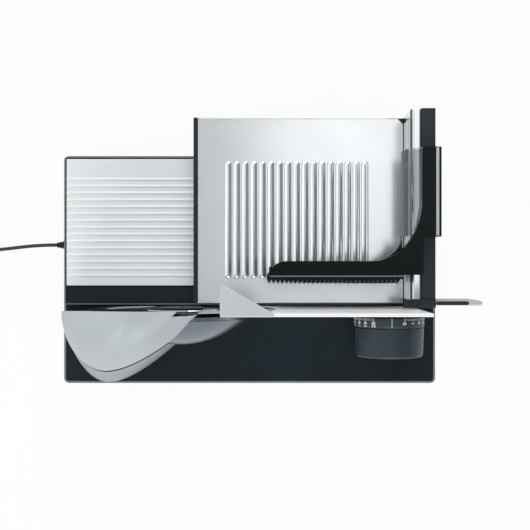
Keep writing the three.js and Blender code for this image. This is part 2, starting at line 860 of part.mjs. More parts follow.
function makeTray() {
  const x0 = trayLeft + edgeBarWidth + gap;
  let body = block(x0, trayRight, trayFrontY, trayBackY, trayBottom, trayTop);
  const half = trayRibWidth / 2;
  for (let i = 0; i < trayRibCount; i += 1) {
    const x = trayRibFirstX + i * trayRibPitch;
    const outline = roundedRectangle(x - half, x + half, trayRibFrontY, trayRibBackY, half - 0.01);
    body = body.add(plate(outline, trayTop - trayThickness / 2, trayTop + trayRibHeight, 2));
  }
  return body;
}

function makeEdgeBar() {
  const z1 = trayTop + gap;
  return block(trayLeft, trayLeft + edgeBarWidth, trayFrontY, trayBackY, z1 - edgeBarHeight, z1);
}

// Glide strip under the front of the carriage frame
function makeFrontPad() {
  const x0 = trayLeft + edgeBarWidth + gap;
  const y0 = trayFrontY + gap;
  return block(x0 + padMargin, trayRight - padMargin, y0, y0 + padWidth, bedTop + gap, frameBottom - gap);
}

// Guide shoe: a leg outside the base with a tongue in the bed's groove
function makeRearShoe(x) {
  const half = shoeWidth / 2;
  const y0 = baseBackY + runningGap;
  const grooveZ = baseTop + grooveAboveBase + gap;
  const leg = block(x - half, x + half, y0, y0 + shoeThickness, baseTop, frameTop - frameWall - gap);
  const tongueBack = bedBackY - grooveDepth + gap;
  return leg.add(block(x - half, x + half, tongueBack, y0 + 1, grooveZ, grooveZ + grooveHeight - 2 * gap));
}

function makeBackWall() {
  return block(wallLeft, wallLeft + wallThickness, wallFrontY, trayBackY, trayBottom, wallTop);
}

function makeWallRail() {
  return block(wallLeft, wallLeft + railWidth, wallFrontY, trayBackY, wallTop + gap, railTop);
}

// Side bar: a channel that is open below
function makeSideBar() {
  const outer = block(sideBarLeft, sideBarRight, wallFrontY, trayBackY, trayBottom, railTop);
  const w = sideBarWall;
  return outer.subtract(
    block(sideBarLeft + w, sideBarRight - w, wallFrontY + w, trayBackY - w, trayBottom - 1, railTop - w),
  );
}

function makeThumbGuard() {
  return block(wallLeft, thumbGuardRight, trayFrontY, trayFrontY + thumbGuardThickness, trayBottom, railTop);
}

function makeThumbStrip() {
  const x0 = sideBarRight;
  const radius = thumbGuardThickness / 2 - gap;
  const outline = roundedRectangle(
    x0,
    x0 + thumbStripLength,
    trayFrontY + gap,
    trayFrontY + thumbGuardThickness - gap,
    radius - 0.01,
  );
  return plate(outline, railTop + gap, railTop + gap + thumbStripHeight);
}

// Holder sleeve: an upturned channel over the rail and the side bar
function makeHolderSleeve() {
  const outline = roundedRectangle(sleeveLeft, sleeveRight, sleeveFrontY, sleeveBackY, 3);
  const body = plate(outline, sleeveBottom - sleeveDrop, sleeveTopZ);
  const y0 = sleeveFrontY - 1;
  const y1 = sleeveBackY + 1;
  const x0 = wallLeft - runningGap;
  const x1 = sideBarRight + runningGap;
  return body.subtract(block(x0, x1, y0, y1, sleeveBottom - sleeveDrop - 1, sleeveBottom));
}

// Holder arm: an L in plan with a concave sweep up to the sleeve, and a pusher plate below it
function makeHolderArm() {
  const shape = new THREE.Shape();
  const sweepTop = sleeveFrontY + sleeveLength / 2;
  shape.moveTo(armLeft, armFrontY);
  shape.lineTo(armRight, armFrontY);
  shape.lineTo(armRight, sweepTop);
  shape.quadraticCurveTo(armRight - 2, armBackY + 6, armRight - armSweepX, armBackY);
  shape.lineTo(armLeft + armSlant, armBackY);
  shape.closePath();
  const top = plate(shape, sleeveTopZ - armTopHeight, sleeveTopZ, 12);
  const pusherBackY = armFrontY + armPlateThickness;
  return top.add(block(armLeft, armRight, armFrontY, pusherBackY, armBottom, sleeveTopZ - armTopHeight / 2));
}

function makeToothStrip() {
  const backY = armFrontY - gap;
  const valleyY = backY - toothBacking;
  const points = [[armRight, backY], [armLeft, backY]];
  const count = Math.floor((armRight - armLeft) / toothPitch);
  for (let i = 0; i < count; i += 1) {
    const x = armLeft + i * toothPitch;
    points.push([x, valleyY], [x + toothPitch / 2, valleyY - toothDepth]);
  }
  points.push([armRight, valleyY]);
  return plate(polygon(points), armBottom + runningGap, sleeveTopZ - runningGap * 2);
}

function makeButton(x) {
  const y0 = baseFrontY + buttonRecess;
  return rodY(x, buttonZ, buttonRadius, y0, y0 + buttonLength, 32);
}

function makeSwitchBody() {
  const y0 = baseFrontY + buttonRecess + buttonLength + buttonTravel + gap;
  const x0 = buttonX - buttonRadius * 1.5;
  const x1 = buttonX + buttonSpacing + buttonRadius * 1.5;
  return block(x0, x1, y0, y0 + switchDepth, ceilingZ - gap - switchHeight, ceilingZ - gap);
}

function makeTerminalBlock() {
  const x0 = sideWallInnerX + 2 * reliefRadius;
  const half = terminalWidth / 2;
  const z0 = coverTop + gap;
  return block(x0, x0 + terminalLength, cordExitY - half, cordExitY + half, z0, z0 + terminalHeight);
}

// Strain relief, a tapered sleeve through the left wall
function makeStrainRelief() {
  const innerX = sideWallInnerX + reliefRadius;
  const profile = [
    [0, reliefEndX],
    [cordRadius + 1, reliefEndX],
    [reliefRadius, baseLeft],
    [reliefRadius, innerX],
    [0, innerX],
  ];
  const points = profile.map(([radius, x]) => new THREE.Vector2(radius, x));
  const geometry = new THREE.LatheGeometry(points, 14);
  return solid(geometry.rotateZ(-Math.PI / 2).translate(0, cordExitY, cordExitZ));
}

// A round lead along a list of points
function lead(points, steps) {
  const route = points.map(([x, y, z]) => new THREE.Vector3(x, y, z));
  const path = new THREE.CatmullRomCurve3(route);
  const section = polygon(
    Array.from({ length: 8 }, (_, i) => {
      const angle = (i * Math.PI) / 4;
      return [cordRadius * Math.cos(angle), cordRadius * Math.sin(angle)];
    }),
  );
  return solid(new THREE.ExtrudeGeometry(section, { steps, extrudePath: path, bevelEnabled: false }));
}

const leadZ = cordRadius + gap;
const coilOuter = coilRadius + coilWidth / 2;
const coilTangent = coilOuter - cordRadius;
const coilReach = Math.sqrt(coilOuter ** 2 - (coilTangent - cordRadius) ** 2);
const coilExitZ = coilLift + coilHeight - cordRadius;
const plugY = coilY + coilTangent;
const plugMiddleZ = gap + plugHeight / 2;
const leadRoute = [
  [reliefEndX - gap, cordExitY, cordExitZ],
  [-211, 24.8, 17.6],
  [-226, 24.2, 9.4],
  [-241, 22.9, 3.4],
  [-255, 21.3, leadZ],
  [-268, 20.2, leadZ],
  [coilX + coilReach + 2 * gap, plugY, leadZ],
];
const plugRoute = [
  [coilX - coilReach - 2 * gap, plugY, coilExitZ],
  [(coilX - coilReach + plugX) / 2, plugY, (coilExitZ + plugMiddleZ) / 2],
  [plugX + gap, plugY, plugMiddleZ],
];

function makeCoil() {
  const inner = coilRadius - coilWidth / 2;
  const profile = [
    [inner, 0],
    [coilOuter, 0],
    [coilOuter, coilHeight],
    [inner, coilHeight],
    [inner, 0],
  ];
  const points = profile.map(([radius, y]) => new THREE.Vector2(radius, y));
  const geometry = new THREE.LatheGeometry(points, 28);
  return solid(geometry.rotateX(Math.PI / 2).translate(coilX, coilY, coilLift));
}

const pinYs = [plugY - pinSpacing / 2, plugY + pinSpacing / 2];

function makePlug() {
  const half = plugWidth / 2;
  const outline = roundedRectangle(plugX - plugLength, plugX, plugY - half, plugY + half, plugCorner);
  return plate(outline, gap, gap + plugHeight);
}

function makePin(y) {
  const x1 = plugX - plugLength - gap;
  return rodX(y, plugMiddleZ, pinRadius, x1 - pinLength, x1, 16);
}

addPart("base_housing", makeHousing(), 0x1b2124, 0.25, 0);
addPart("edge_trim", makeTrim(), 0x9aa0a4, 0.3, 1);
addPart("bottom_cover", makeBottomCover(), 0x202427, 0.6, 0);
corners.forEach((corner, i) => addPart(`foot_${i + 1}`, makeFoot(corner), 0x15181a, 0.9, 0));
addPart("carriage_bed", makeBed(), 0x252c33, 0.3, 0);
addPart("ribbed_plate", makeRibPlate(), 0xdee2e5, 0.35, 1);

addPart("tower_skirt", makeTowerSkirt(), 0xaaafb3, 0.6, 0.6);
addPart("tower_cap", makeTowerCap(), 0xbfc5c9, 0.6, 0.6);
addPart("gear_case", makeGearCase(), 0x7b828a, 0.3, 1);
addPart("drive_plate", makeDrivePlate(), 0x8a9096, 0.4, 1);
addPart("motor_bracket", makeMotorBracket(), 0x9b9fa3, 0.5, 1);
addPart("front_bearing", makeBearing(frontBearingRadius, drivePlateFrontY - bearingWidth), 0xb9bdc1, 0.25, 1);
const rearBearingY = bracketFrontY - bearingWidth + gap;
addPart("rear_bearing", makeBearing(rearBearingRadius, rearBearingY), 0xb9bdc1, 0.25, 1);
addPart("blade_shaft", makeBladeShaft(), 0xa7abaf, 0.3, 1);
addPart("blade", makeBlade(), 0xc9ced2, 0.2, 1);
addPart("blade_lock", makeBladeLock(), 0x2b3035, 0.5, 0);
addPart("blade_pulley", makeBladePulley(), 0x3a3f44, 0.6, 0);
addPart("drive_belt", makeBelt(), 0x17191b, 0.9, 0);
addPart("motor_can", makeMotorCan(), 0x868b90, 0.4, 1);
addPart("motor_rotor", makeRotor(), 0x9a6a3c, 0.5, 1);

addPart("stop_plate", makeStopPlate(), 0xd4d9dd, 0.35, 1);
addPart("finger_guard", makeFingerGuard(), 0xbdc5c7, 0.4, 1);
addPart("stop_carrier", makeStopCarrier(), 0x53595f, 0.5, 0);
addPart("rod_block_rear", makeRodBlock(rodRearY - gap), 0x3c4247, 0.6, 0);
addPart("rod_block_front", makeRodBlock(rodFrontY - rodBlockThickness + 2 * gap), 0x3c4247, 0.6, 0);
legXs.forEach((x, i) => {
  const rod = rodY(x, guideRodZ, guideRodRadius, rodFrontY - runningGap, rodRearY + runningGap, 24);
  addPart(`guide_rod_${i + 1}`, rod, 0xc4c8cc, 0.2, 1);
});
addPart("knob_gear", makeKnobGear(), 0x2b3035, 0.6, 0);
addPart("scale_ring", makeScaleRing(), 0x3e474e, 0.5, 0);
addPart("thickness_knob", makeKnob(), 0x3e474e, 0.5, 0);
addPart("lead_screw", makeLeadScrew(), 0xa7abaf, 0.35, 1);
addPart("lead_nut", makeLeadNut(), 0x3c4247, 0.6, 0);

addPart("carriage_frame", makeCarriageFrame(), 0x22282c, 0.5, 0);
addPart("carriage_tray", makeTray(), 0xcfd4d7, 0.3, 1);
addPart("tray_edge_bar", makeEdgeBar(), 0x3c434a, 0.4, 0);
addPart("front_pad", makeFrontPad(), 0xe6e6e0, 0.6, 0);
const shoeMiddleX = (trayLeft + trayRight) / 2 + shoeOffset;
addPart("rear_shoe_1", makeRearShoe(shoeMiddleX - shoeSpread / 2), 0x2a3035, 0.6, 0);
addPart("rear_shoe_2", makeRearShoe(shoeMiddleX + shoeSpread / 2), 0x2a3035, 0.6, 0);
addPart("back_wall", makeBackWall(), 0xdfe3e6, 0.25, 1);
addPart("wall_rail", makeWallRail(), 0xf0f2f4, 0.12, 1);
addPart("side_bar", makeSideBar(), 0x2d363d, 0.4, 0);
addPart("thumb_guard", makeThumbGuard(), 0xc3c8cb, 0.4, 0.6);
addPart("thumb_strip", makeThumbStrip(), 0x5a6066, 0.6, 0);

addPart("holder_sleeve", makeHolderSleeve(), 0x1e2328, 0.35, 0);
addPart("holder_arm", makeHolderArm(), 0x171f22, 0.35, 0);
addPart("tooth_strip", makeToothStrip(), 0x14181a, 0.4, 0);

buttonXs.forEach((x, i) => addPart(["start_button", "lock_button"][i], makeButton(x), 0x3a4147, 0.5, 0));
addPart("switch_body", makeSwitchBody(), 0x1f2326, 0.6, 0);
addPart("terminal_block", makeTerminalBlock(), 0xd8d8d0, 0.6, 0);

addPart("strain_relief", makeStrainRelief(), 0x22272a, 0.6, 0);
addPart("mains_lead", lead(leadRoute, 14), 0x414649, 0.6, 0);
addPart("lead_coil", makeCoil(), 0x414649, 0.6, 0);
addPart("plug_lead", lead(plugRoute, 4), 0x414649, 0.6, 0);
addPart("plug_body", makePlug(), 0x1f2326, 0.5, 0);
pinYs.forEach((y, i) => addPart(`plug_pin_${i + 1}`, makePin(y), 0xc9b27a, 0.3, 1));

assembly.position.set(-originX, -originY, 0);
const slicer = new THREE.Group();
slicer.add(assembly);

export default slicer;
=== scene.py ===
import json
import math

import bmesh
import bpy
from bpy.props import FloatProperty, FloatVectorProperty, PointerProperty
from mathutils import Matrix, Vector

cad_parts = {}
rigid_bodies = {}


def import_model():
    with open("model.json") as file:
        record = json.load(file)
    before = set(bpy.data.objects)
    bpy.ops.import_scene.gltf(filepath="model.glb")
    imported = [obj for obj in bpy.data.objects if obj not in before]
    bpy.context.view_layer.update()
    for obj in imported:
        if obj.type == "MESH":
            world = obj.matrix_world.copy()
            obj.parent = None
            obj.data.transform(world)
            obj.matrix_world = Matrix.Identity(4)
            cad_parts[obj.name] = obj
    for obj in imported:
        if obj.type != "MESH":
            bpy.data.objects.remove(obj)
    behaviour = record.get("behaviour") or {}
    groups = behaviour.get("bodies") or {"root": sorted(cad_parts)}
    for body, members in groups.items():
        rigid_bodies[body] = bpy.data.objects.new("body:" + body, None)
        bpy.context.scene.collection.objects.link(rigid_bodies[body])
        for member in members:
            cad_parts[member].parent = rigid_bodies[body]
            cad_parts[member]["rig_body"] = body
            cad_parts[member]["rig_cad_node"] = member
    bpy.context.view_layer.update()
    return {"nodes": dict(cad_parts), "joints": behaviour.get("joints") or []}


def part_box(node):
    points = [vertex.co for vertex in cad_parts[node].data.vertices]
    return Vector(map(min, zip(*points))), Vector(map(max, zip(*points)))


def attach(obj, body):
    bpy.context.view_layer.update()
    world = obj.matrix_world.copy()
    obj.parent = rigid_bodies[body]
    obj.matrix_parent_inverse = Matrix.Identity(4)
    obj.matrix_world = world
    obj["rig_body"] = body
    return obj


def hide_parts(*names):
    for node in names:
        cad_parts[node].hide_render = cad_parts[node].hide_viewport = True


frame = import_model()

bl_info = {
    "name": "Food slicer",
    "version": (1, 0, 0),
    "blender": (4, 5, 0),
    "location": "View3D > Sidebar > Slicer",
    "description": "Dresses the food slicer's frame with finished pieces and materials",
    "category": "Object",
}

MM = 0.001
NODES = frame["nodes"]
JOINTS = {joint["name"]: joint for joint in frame["joints"]}


def linear(hex_colour):
    """sRGB hex to a linear colour with alpha."""
    parts = [int(hex_colour[i : i + 2], 16) / 255 for i in (1, 3, 5)]
    low = [c / 12.92 if c <= 0.04045 else ((c + 0.055) / 1.055) ** 2.4 for c in parts]
    return (*low, 1.0)


def colour(name, hex_colour, text):
    """A colour that a user may change."""
    return FloatVectorProperty(
        name=name, description=text, subtype="COLOR", size=4, min=0, max=1, default=linear(hex_colour)
    )


def length(name, metres, text):
    """A length that a user may change, in metres."""
    return FloatProperty(name=name, description=text, unit="LENGTH", min=0, default=metres)


class SlicerSizes(bpy.types.PropertyGroup):
    edge: length("Edge radius", 0.8 * MM, "Rounding of moulded edges")
    sheet_edge: length("Sheet edge", 0.4 * MM, "Rounding of sheet metal edges")
    base_rib: length("Plate rib height", 0.6 * MM, "Height of the ribs on the plate of the base")
    tray_rib: length("Tray rib height", 1.5 * MM, "Height of the ribs pressed into the tray")
    figure: length("Figure height", 5.2 * MM, "Height of the figures on the scale")
    camera_height: length("Camera height", 1.0, "Height of the camera above the floor")


class SlicerColours(bpy.types.PropertyGroup):
    base: colour("Base", "#232b30", "Polished black of the base")
    tower: colour("Tower", "#b8bec1", "Textured grey of the tower's cap")
    # The skirt's grey is the tower's grey darkened: painted shade on the lower shell
    skirt: colour("Skirt", "#999fa3", "Textured grey of the tower's lower shell")
    knob: colour("Knob", "#30393f", "Soft grey of the thickness knob")
    holder: colour("Holder", "#0e1416", "Satin black of the food holder")
    trim: colour("Trim", "#1a2228", "Grained dark grey of the carriage bar")
    lead: colour("Lead", "#262b2d", "Rubber of the mains lead")
    floor: colour("Floor", "#f4f4f4", "Pale studio floor")


# Materials: the span and fade of a noise, the size of its soft clouds, and the finishes by name
NOISE_SPAN = {"From Min": 0.3, "From Max": 0.7}
NOISE_FADE = 0.55
CLOUD_MM = 45
FINISH = {}


def add_node(tree, kind, settings=None, inputs=None):
    """Adds a node; an input given as a socket is linked, and any other is set."""
    node = tree.nodes.new(kind)
    for name, value in (settings or {}).items():
        setattr(node, name, value)
    for key, value in (inputs or {}).items():
        if isinstance(value, bpy.types.NodeSocket):
            tree.links.new(value, node.inputs[key])
        else:
            node.inputs[key].default_value = value
    return node


def empty_tree(item):
    """The cleared node tree of a material or a world."""
    item.use_nodes = True
    item.node_tree.nodes.clear()
    return item.node_tree


def pattern(tree, size_mm, stretch=(1, 1, 1), detail=2.0):
    """Noise whose grains are size_mm wide, drawn out along the axes by stretch."""
    spot = add_node(tree, "ShaderNodeTexCoord")
    scale = [1 / (size_mm * MM * s) for s in stretch]
    mapped = add_node(tree, "ShaderNodeMapping", None, {"Vector": spot.outputs["Object"], "Scale": scale})
    grain = {"Vector": mapped.outputs[0], "Scale": 1.0, "Detail": detail, "Roughness": NOISE_FADE}
    return add_node(tree, "ShaderNodeTexNoise", None, grain).outputs["Fac"]


def tinted(tree, value, base, swing):
    """A base colour that goes darker and lighter by swing with a noise value."""
    dark = [c * (1 - swing) for c in base[:3]] + [1]
    light = [min(c * (1 + swing), 1) for c in base[:3]] + [1]
    share = add_node(tree, "ShaderNodeMapRange", None, {"Value": value, **NOISE_SPAN})
    inputs = {"Factor": share.outputs["Result"], 6: dark, 7: light}
    return add_node(tree, "ShaderNodeMix", {"data_type": "RGBA"}, inputs).outputs[2]


def grained(
    key, name, base, grain_mm, rough, swing, bump,
    stretch=(1, 1, 1), depth_mm=0.1, metal=0, gloss=0.5, **sockets
):
    """Adds a finish with grain in its colour, roughness and height."""
    material = bpy.data.materials.new(name)
    tree = empty_tree(material)
    grain = pattern(tree, grain_mm, stretch)
    cloud = pattern(tree, CLOUD_MM, (1, 1, 1), 1.0)
    base = linear(base) if isinstance(base, str) else base
    spread = {"Value": grain, **NOISE_SPAN, "To Min": rough[0], "To Max": rough[1]}
    relief = {"Height": grain, "Strength": bump, "Distance": depth_mm * MM}
    sockets["Base Color"] = tinted(tree, cloud, base, swing)
    sockets["Roughness"] = add_node(tree, "ShaderNodeMapRange", None, spread).outputs["Result"]
    sockets["Normal"] = add_node(tree, "ShaderNodeBump", None, relief).outputs[0]
    sockets.update({"Metallic": metal, "Specular IOR Level": gloss})
    shader = add_node(tree, "ShaderNodeBsdfPrincipled", None, sockets)
    add_node(tree, "ShaderNodeOutputMaterial", None, {"Surface": shader.outputs[0]})
    FINISH[key] = material


def make_finishes():
    """Every finish of the slicer, by its common name."""
    own = bpy.context.scene.slicer_colours
    # Polished ABS: moulded in a mirror-finished tool, so a deep black with a faint orange peel
    grained("gloss_black", "polished_black_ABS", own.base, 3.0, (0.10, 0.16), 0.10, 0.02, gloss=0.08)
    # Satin ABS on the holder: a finely honed tool, so a deep black with a weak sheen
    grained("holder", "satin_black_ABS", own.holder, 1.2, (0.26, 0.36), 0.12, 0.05, gloss=0.12)
    # Smoked chrome on the lip of the holder's sleeve: a dark mirror
    grained("lip", "smoked_chrome", "#565f63", 4.0, (0.07, 0.12), 0.04, 0.015, (1, 30, 1), 0.02, metal=1)
    # Smoked acrylic on the flank of the holder's sleeve: a clear window that dims the rail behind it
    clear = {"depth_mm": 0.02, "Transmission Weight": 0.95, "IOR": 1.49}
    grained("smoked", "smoked_clear_acrylic", "#ccd2d5", 4.0, (0.02, 0.05), 0.04, 0.01, **clear)
    # Grained polyamide: a spark-eroded tool leaves a fine matt grain
    grained("dark", "grained_dark_polyamide", own.trim, 0.7, (0.36, 0.5), 0.08, 0.22, gloss=0.4)
    grained("black", "grained_black_polyamide", "#1c2124", 0.7, (0.4, 0.55), 0.08, 0.2, gloss=0.35)
    # Soft-touch lacquer on the knob: a velvety grey with a weak broad highlight
    grained("knob", "soft_touch_lacquer", own.knob, 0.5, (0.38, 0.46), 0.05, 0.12, gloss=0.35)
    # Aluminium castings under fine textured paint, whose 0.9 mm grain is drawn at 1.4 mm to show
    paint = {"depth_mm": 0.16, "metal": 0.25}
    grained("cast", "textured_grey_casting_paint", own.tower, 1.4, (0.5, 0.64), 0.04, 0.3, **paint)
    # The lower shell takes the cap's paint darkened: painted shade, not a second colour of the casting
    grained("skirt", "textured_grey_casting_paint_painted_shade", own.skirt, 1.4, (0.5, 0.64), 0.04, 0.3, **paint)
    # Bead-blasted aluminium of the finger guard, also used for a light strip on the holder's sleeve edge that
    # is a painted highlight
    blast = {"depth_mm": 0.06, "metal": 0.55}
    grained("blasted", "bead_blasted_aluminium", "#cdd2d4", 0.8, (0.42, 0.52), 0.03, 0.2, **blast)
    # Rolled aluminium plate, brushed along X: brush lines of 0.25 mm drawn at 0.6 mm to show
    brush = {"stretch": (60, 1, 1), "depth_mm": 0.04, "metal": 0.1}
    grained("plate", "brushed_aluminium_plate", "#f3f5f6", 0.6, (0.32, 0.4), 0.02, 0.06, **brush)
    # Stainless sheet, satin ground along Y: lines of 0.2 mm drawn at 0.5 mm to show
    satin = {"stretch": (1, 70, 1), "depth_mm": 0.03, "metal": 0.84}
    grained("stainless", "satin_stainless_sheet", "#e9ecee", 0.5, (0.18, 0.23), 0.02, 0.015, **satin)
    # Mirror-polished steel of the wall, its rail and the guide rods
    polish = {"stretch": (1, 30, 1), "depth_mm": 0.02, "metal": 1}
    grained("chrome", "polished_chrome_steel", "#e2e4e6", 2.0, (0.05, 0.1), 0.02, 0.02, **polish)
    # Spun aluminium of the gear case, the motor can and the tooth clamp, whose light strip also stands for a
    # painted highlight along the arm's front edge
    grained("spun", "spun_aluminium", "#737b83", 0.6, (0.24, 0.32), 0.04, 0.06, (1, 20, 1), 0.03, metal=1)
    # Ground blade steel
    grained("blade", "ground_blade_steel", "#b4babd", 0.8, (0.06, 0.12), 0.03, 0.02, depth_mm=0.01, metal=1)
    # Turned and cut steel of the drive, with tool marks; it also colours the base's trim and the bed's edge
    # line, which are partly painted highlights
    grained("machined", "machined_steel", "#94999d", 0.4, (0.26, 0.4), 0.05, 0.12, (1, 1, 8), 0.04, metal=1)
    # Natural rubber: matt, dusty and slightly mottled
    grained("rubber", "black_rubber", "#191c1e", 1.2, (0.7, 0.85), 0.12, 0.15)
    grained("lead", "lead_rubber", own.lead, 0.9, (0.5, 0.65), 0.08, 0.12)
    # Natural nylon of the glide pad and the terminal block
    grained("nylon", "natural_nylon", "#e4e3dc", 1.0, (0.45, 0.6), 0.03, 0.1)
    # Enamelled copper wire, wound in lines of 0.8 mm
    grained("copper", "enamelled_copper", "#9a6a3c", 0.8, (0.25, 0.4), 0.1, 0.4, (1, 40, 1), 0.2, metal=1)
    # Nickel-plated brass pins
    grained("pin", "nickel_plated_brass", "#cfc8b4", 0.6, (0.2, 0.3), 0.04, 0.05, (20, 1, 1), 0.02, metal=1)
    # Pad-printed white ink of the scale, slightly uneven
    grained("ink", "white_printing_ink", "#e9ecee", 0.6, (0.5, 0.6), 0.04, 0.05)


def dress(piece, finish):
    piece.data.materials.clear()
    piece.data.materials.append(FINISH[finish])


# Modelling helpers: points within MERGE metres become one point, and faces within FLAT degrees one face
MERGE = 0.00001
FLAT = 0.5


def in_metres(points):
    return [(a * MM, b * MM) for a, b in points]


def begin():
    """Object mode with nothing selected."""
    if bpy.context.object and bpy.context.object.mode != "OBJECT":
        bpy.ops.object.mode_set(mode="OBJECT")
    bpy.ops.object.select_all(action="DESELECT")


def focus(piece):
    begin()
    piece.select_set(True)
    bpy.context.view_layer.objects.active = piece


def edit_all(piece, kind):
    """Edit mode with every element of one kind selected."""
    focus(piece)
    bpy.ops.object.mode_set(mode="EDIT")
    bpy.ops.mesh.select_mode(type=kind)
    bpy.ops.mesh.select_all(action="SELECT")


def leave_edit():
    """Object mode again, with every face turned outwards."""
    bpy.ops.mesh.select_all(action="SELECT")
    bpy.ops.mesh.normals_make_consistent(inside=False)
    bpy.ops.object.mode_set(mode="OBJECT")


def settle(piece):
    """Puts the piece's place, turn and scale into its mesh."""
    focus(piece)
    bpy.ops.object.transform_apply(location=True, rotation=True, scale=True)


def smooth(piece, degrees=35):
    focus(piece)
    bpy.ops.object.shade_smooth_by_angle(angle=math.radians(degrees))


def apply_modifier(piece, kind, **settings):
    focus(piece)
    bpy.ops.object.modifier_add(type=kind)
    modifier = piece.modifiers[-1]
    for name, value in settings.items():
        setattr(modifier, name, value)
    bpy.ops.object.modifier_apply(modifier=modifier.name)


def round_off(piece, width, segments=3, degrees=30):
    """Rounds every sharp edge, and keeps the shading of the flat faces flat."""
    limit = {"limit_method": "ANGLE", "angle_limit": math.radians(degrees), "use_clamp_overlap": True}
    apply_modifier(piece, "BEVEL", width=width, segments=segments, **limit)
    smooth(piece)
    apply_modifier(piece, "WEIGHTED_NORMAL", keep_sharp=True)


def cut(piece, cutter, operation="DIFFERENCE"):
    """Cuts a piece with another, which is then removed."""
    apply_modifier(piece, "BOOLEAN", object=cutter, operation=operation, solver="EXACT")
    focus(cutter)
    bpy.ops.object.delete()


def box(name, low, high):
    begin()
    middle = (Vector(low) + Vector(high)) / 2
    bpy.ops.mesh.primitive_cube_add(size=1, location=middle)
    piece = bpy.context.object
    piece.name = name
    bpy.ops.transform.resize(value=Vector(high) - Vector(low))
    settle(piece)
    return piece


def loop(name, count, fill="NGON"):
    """A loop of as many points as an outline has, before they are put in place."""
    begin()
    bpy.ops.mesh.primitive_circle_add(vertices=count, radius=1, fill_type=fill)
    piece = bpy.context.object
    piece.name = name
    return piece


def outline(name, points, low, high, axis="Z"):
    """A flat outline, filled and drawn out from low to high along an axis."""
    piece = loop(name, len(points))
    for vertex, (a, b) in zip(piece.data.vertices, points):
        vertex.co = (a, b, low) if axis == "Z" else (a, low, b)
    edit_all(piece, "FACE")
    step = (0, 0, high - low) if axis == "Z" else (0, high - low, 0)
    bpy.ops.mesh.extrude_region_move(TRANSFORM_OT_translate={"value": step})
    leave_edit()
    settle(piece)
    return piece


def spun(name, profile, centre, axis, steps=96):
    """A closed profile of radius and place along the axis, spun round it."""
    piece = loop(name, len(profile), "NOTHING")
    for vertex, (radius, along) in zip(piece.data.vertices, profile):
        vertex.co = Vector((along, 0, radius)) if axis == "X" else Vector((radius, along, 0))
    edit_all(piece, "VERT")
    line = (1, 0, 0) if axis == "X" else (0, 1, 0)
    bpy.ops.mesh.spin(steps=steps, angle=2 * math.pi, center=(0, 0, 0), axis=line)
    bpy.ops.mesh.select_all(action="SELECT")
    bpy.ops.mesh.remove_doubles(threshold=MERGE)
    bpy.ops.mesh.delete_loose()
    leave_edit()
    piece.location = centre
    settle(piece)
    return piece


def join(name, parts):
    begin()
    for part in parts:
        part.select_set(True)
    bpy.context.view_layer.objects.active = parts[0]
    bpy.ops.object.join()
    parts[0].name = name
    return parts[0]


def place(piece, body, finish, *nodes):
    """Gives a piece its finish and body, and says which nodes it stands for."""
    dress(piece, finish)
    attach(piece, body)
    if nodes:
        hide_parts(*nodes)


def copy_of(name, node, body, finish, width, segments=3):
    """A merged copy of a frame node with rounded edges, which stands for the node."""
    focus(NODES[node])
    bpy.ops.object.duplicate()
    piece = bpy.context.object
    bpy.ops.object.parent_clear(type="CLEAR_KEEP_TRANSFORM")
    piece.name = name
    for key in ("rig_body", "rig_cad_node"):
        del piece[key]
    bpy.ops.mesh.customdata_custom_splitnormals_clear()
    edit_all(piece, "VERT")
    bpy.ops.mesh.remove_doubles(threshold=MERGE)
    bpy.ops.mesh.dissolve_limited(angle_limit=math.radians(FLAT))
    begin()
    round_off(piece, width, segments)
    place(piece, body, finish, node)
    return piece


def rib(name, start, end, width, height):
    """A pressed rib with round ends, whose section is a bell on the plane of its two end points."""
    begin()
    bpy.ops.mesh.primitive_uv_sphere_add(segments=24, ring_count=18, radius=1)
    piece = bpy.context.object
    piece.name = name
    edit_all(piece, "VERT")
    bpy.ops.mesh.bisect(plane_co=(0, 0, 0), plane_no=(0, 0, 1), use_fill=True, clear_inner=True)
    leave_edit()
    along_x = abs(end[0] - start[0]) > abs(end[1] - start[1])
    half = width / 2
    for vertex in piece.data.vertices:
        x, y, _ = vertex.co
        if along_x:
            x, y = -y, x
        foot = Vector(start) if (x if along_x else y) < 0 else Vector(end)
        rise = (1 + math.cos(math.pi * min(math.hypot(x, y), 1))) / 2
        vertex.co = foot + Vector((x * half, y * half, rise * height))
    smooth(piece, 60)
    return piece


def repeat(piece, count, step):
    """Copies of a part along a line, joined to it."""
    offset = {"use_relative_offset": False, "use_constant_offset": True, "constant_offset_displace": step}
    apply_modifier(piece, "ARRAY", count=count, **offset)


# Painted highlight line along the carriage bed's front and left edges, and ribs of the base's plate, in metres
BED_HIGHLIGHT_WIDTH = 0.8 * MM
BED_HIGHLIGHT_RISE = 0.25 * MM
BED_RIB_RISE = 0.6 * MM
BED_RIB_START = 9.8 * MM
BED_RIB_END = 2 * MM
BED_RIB_WIDTH = 4.4 * MM
BED_RIB_PITCH = 6.8 * MM
BED_RIBS = 15


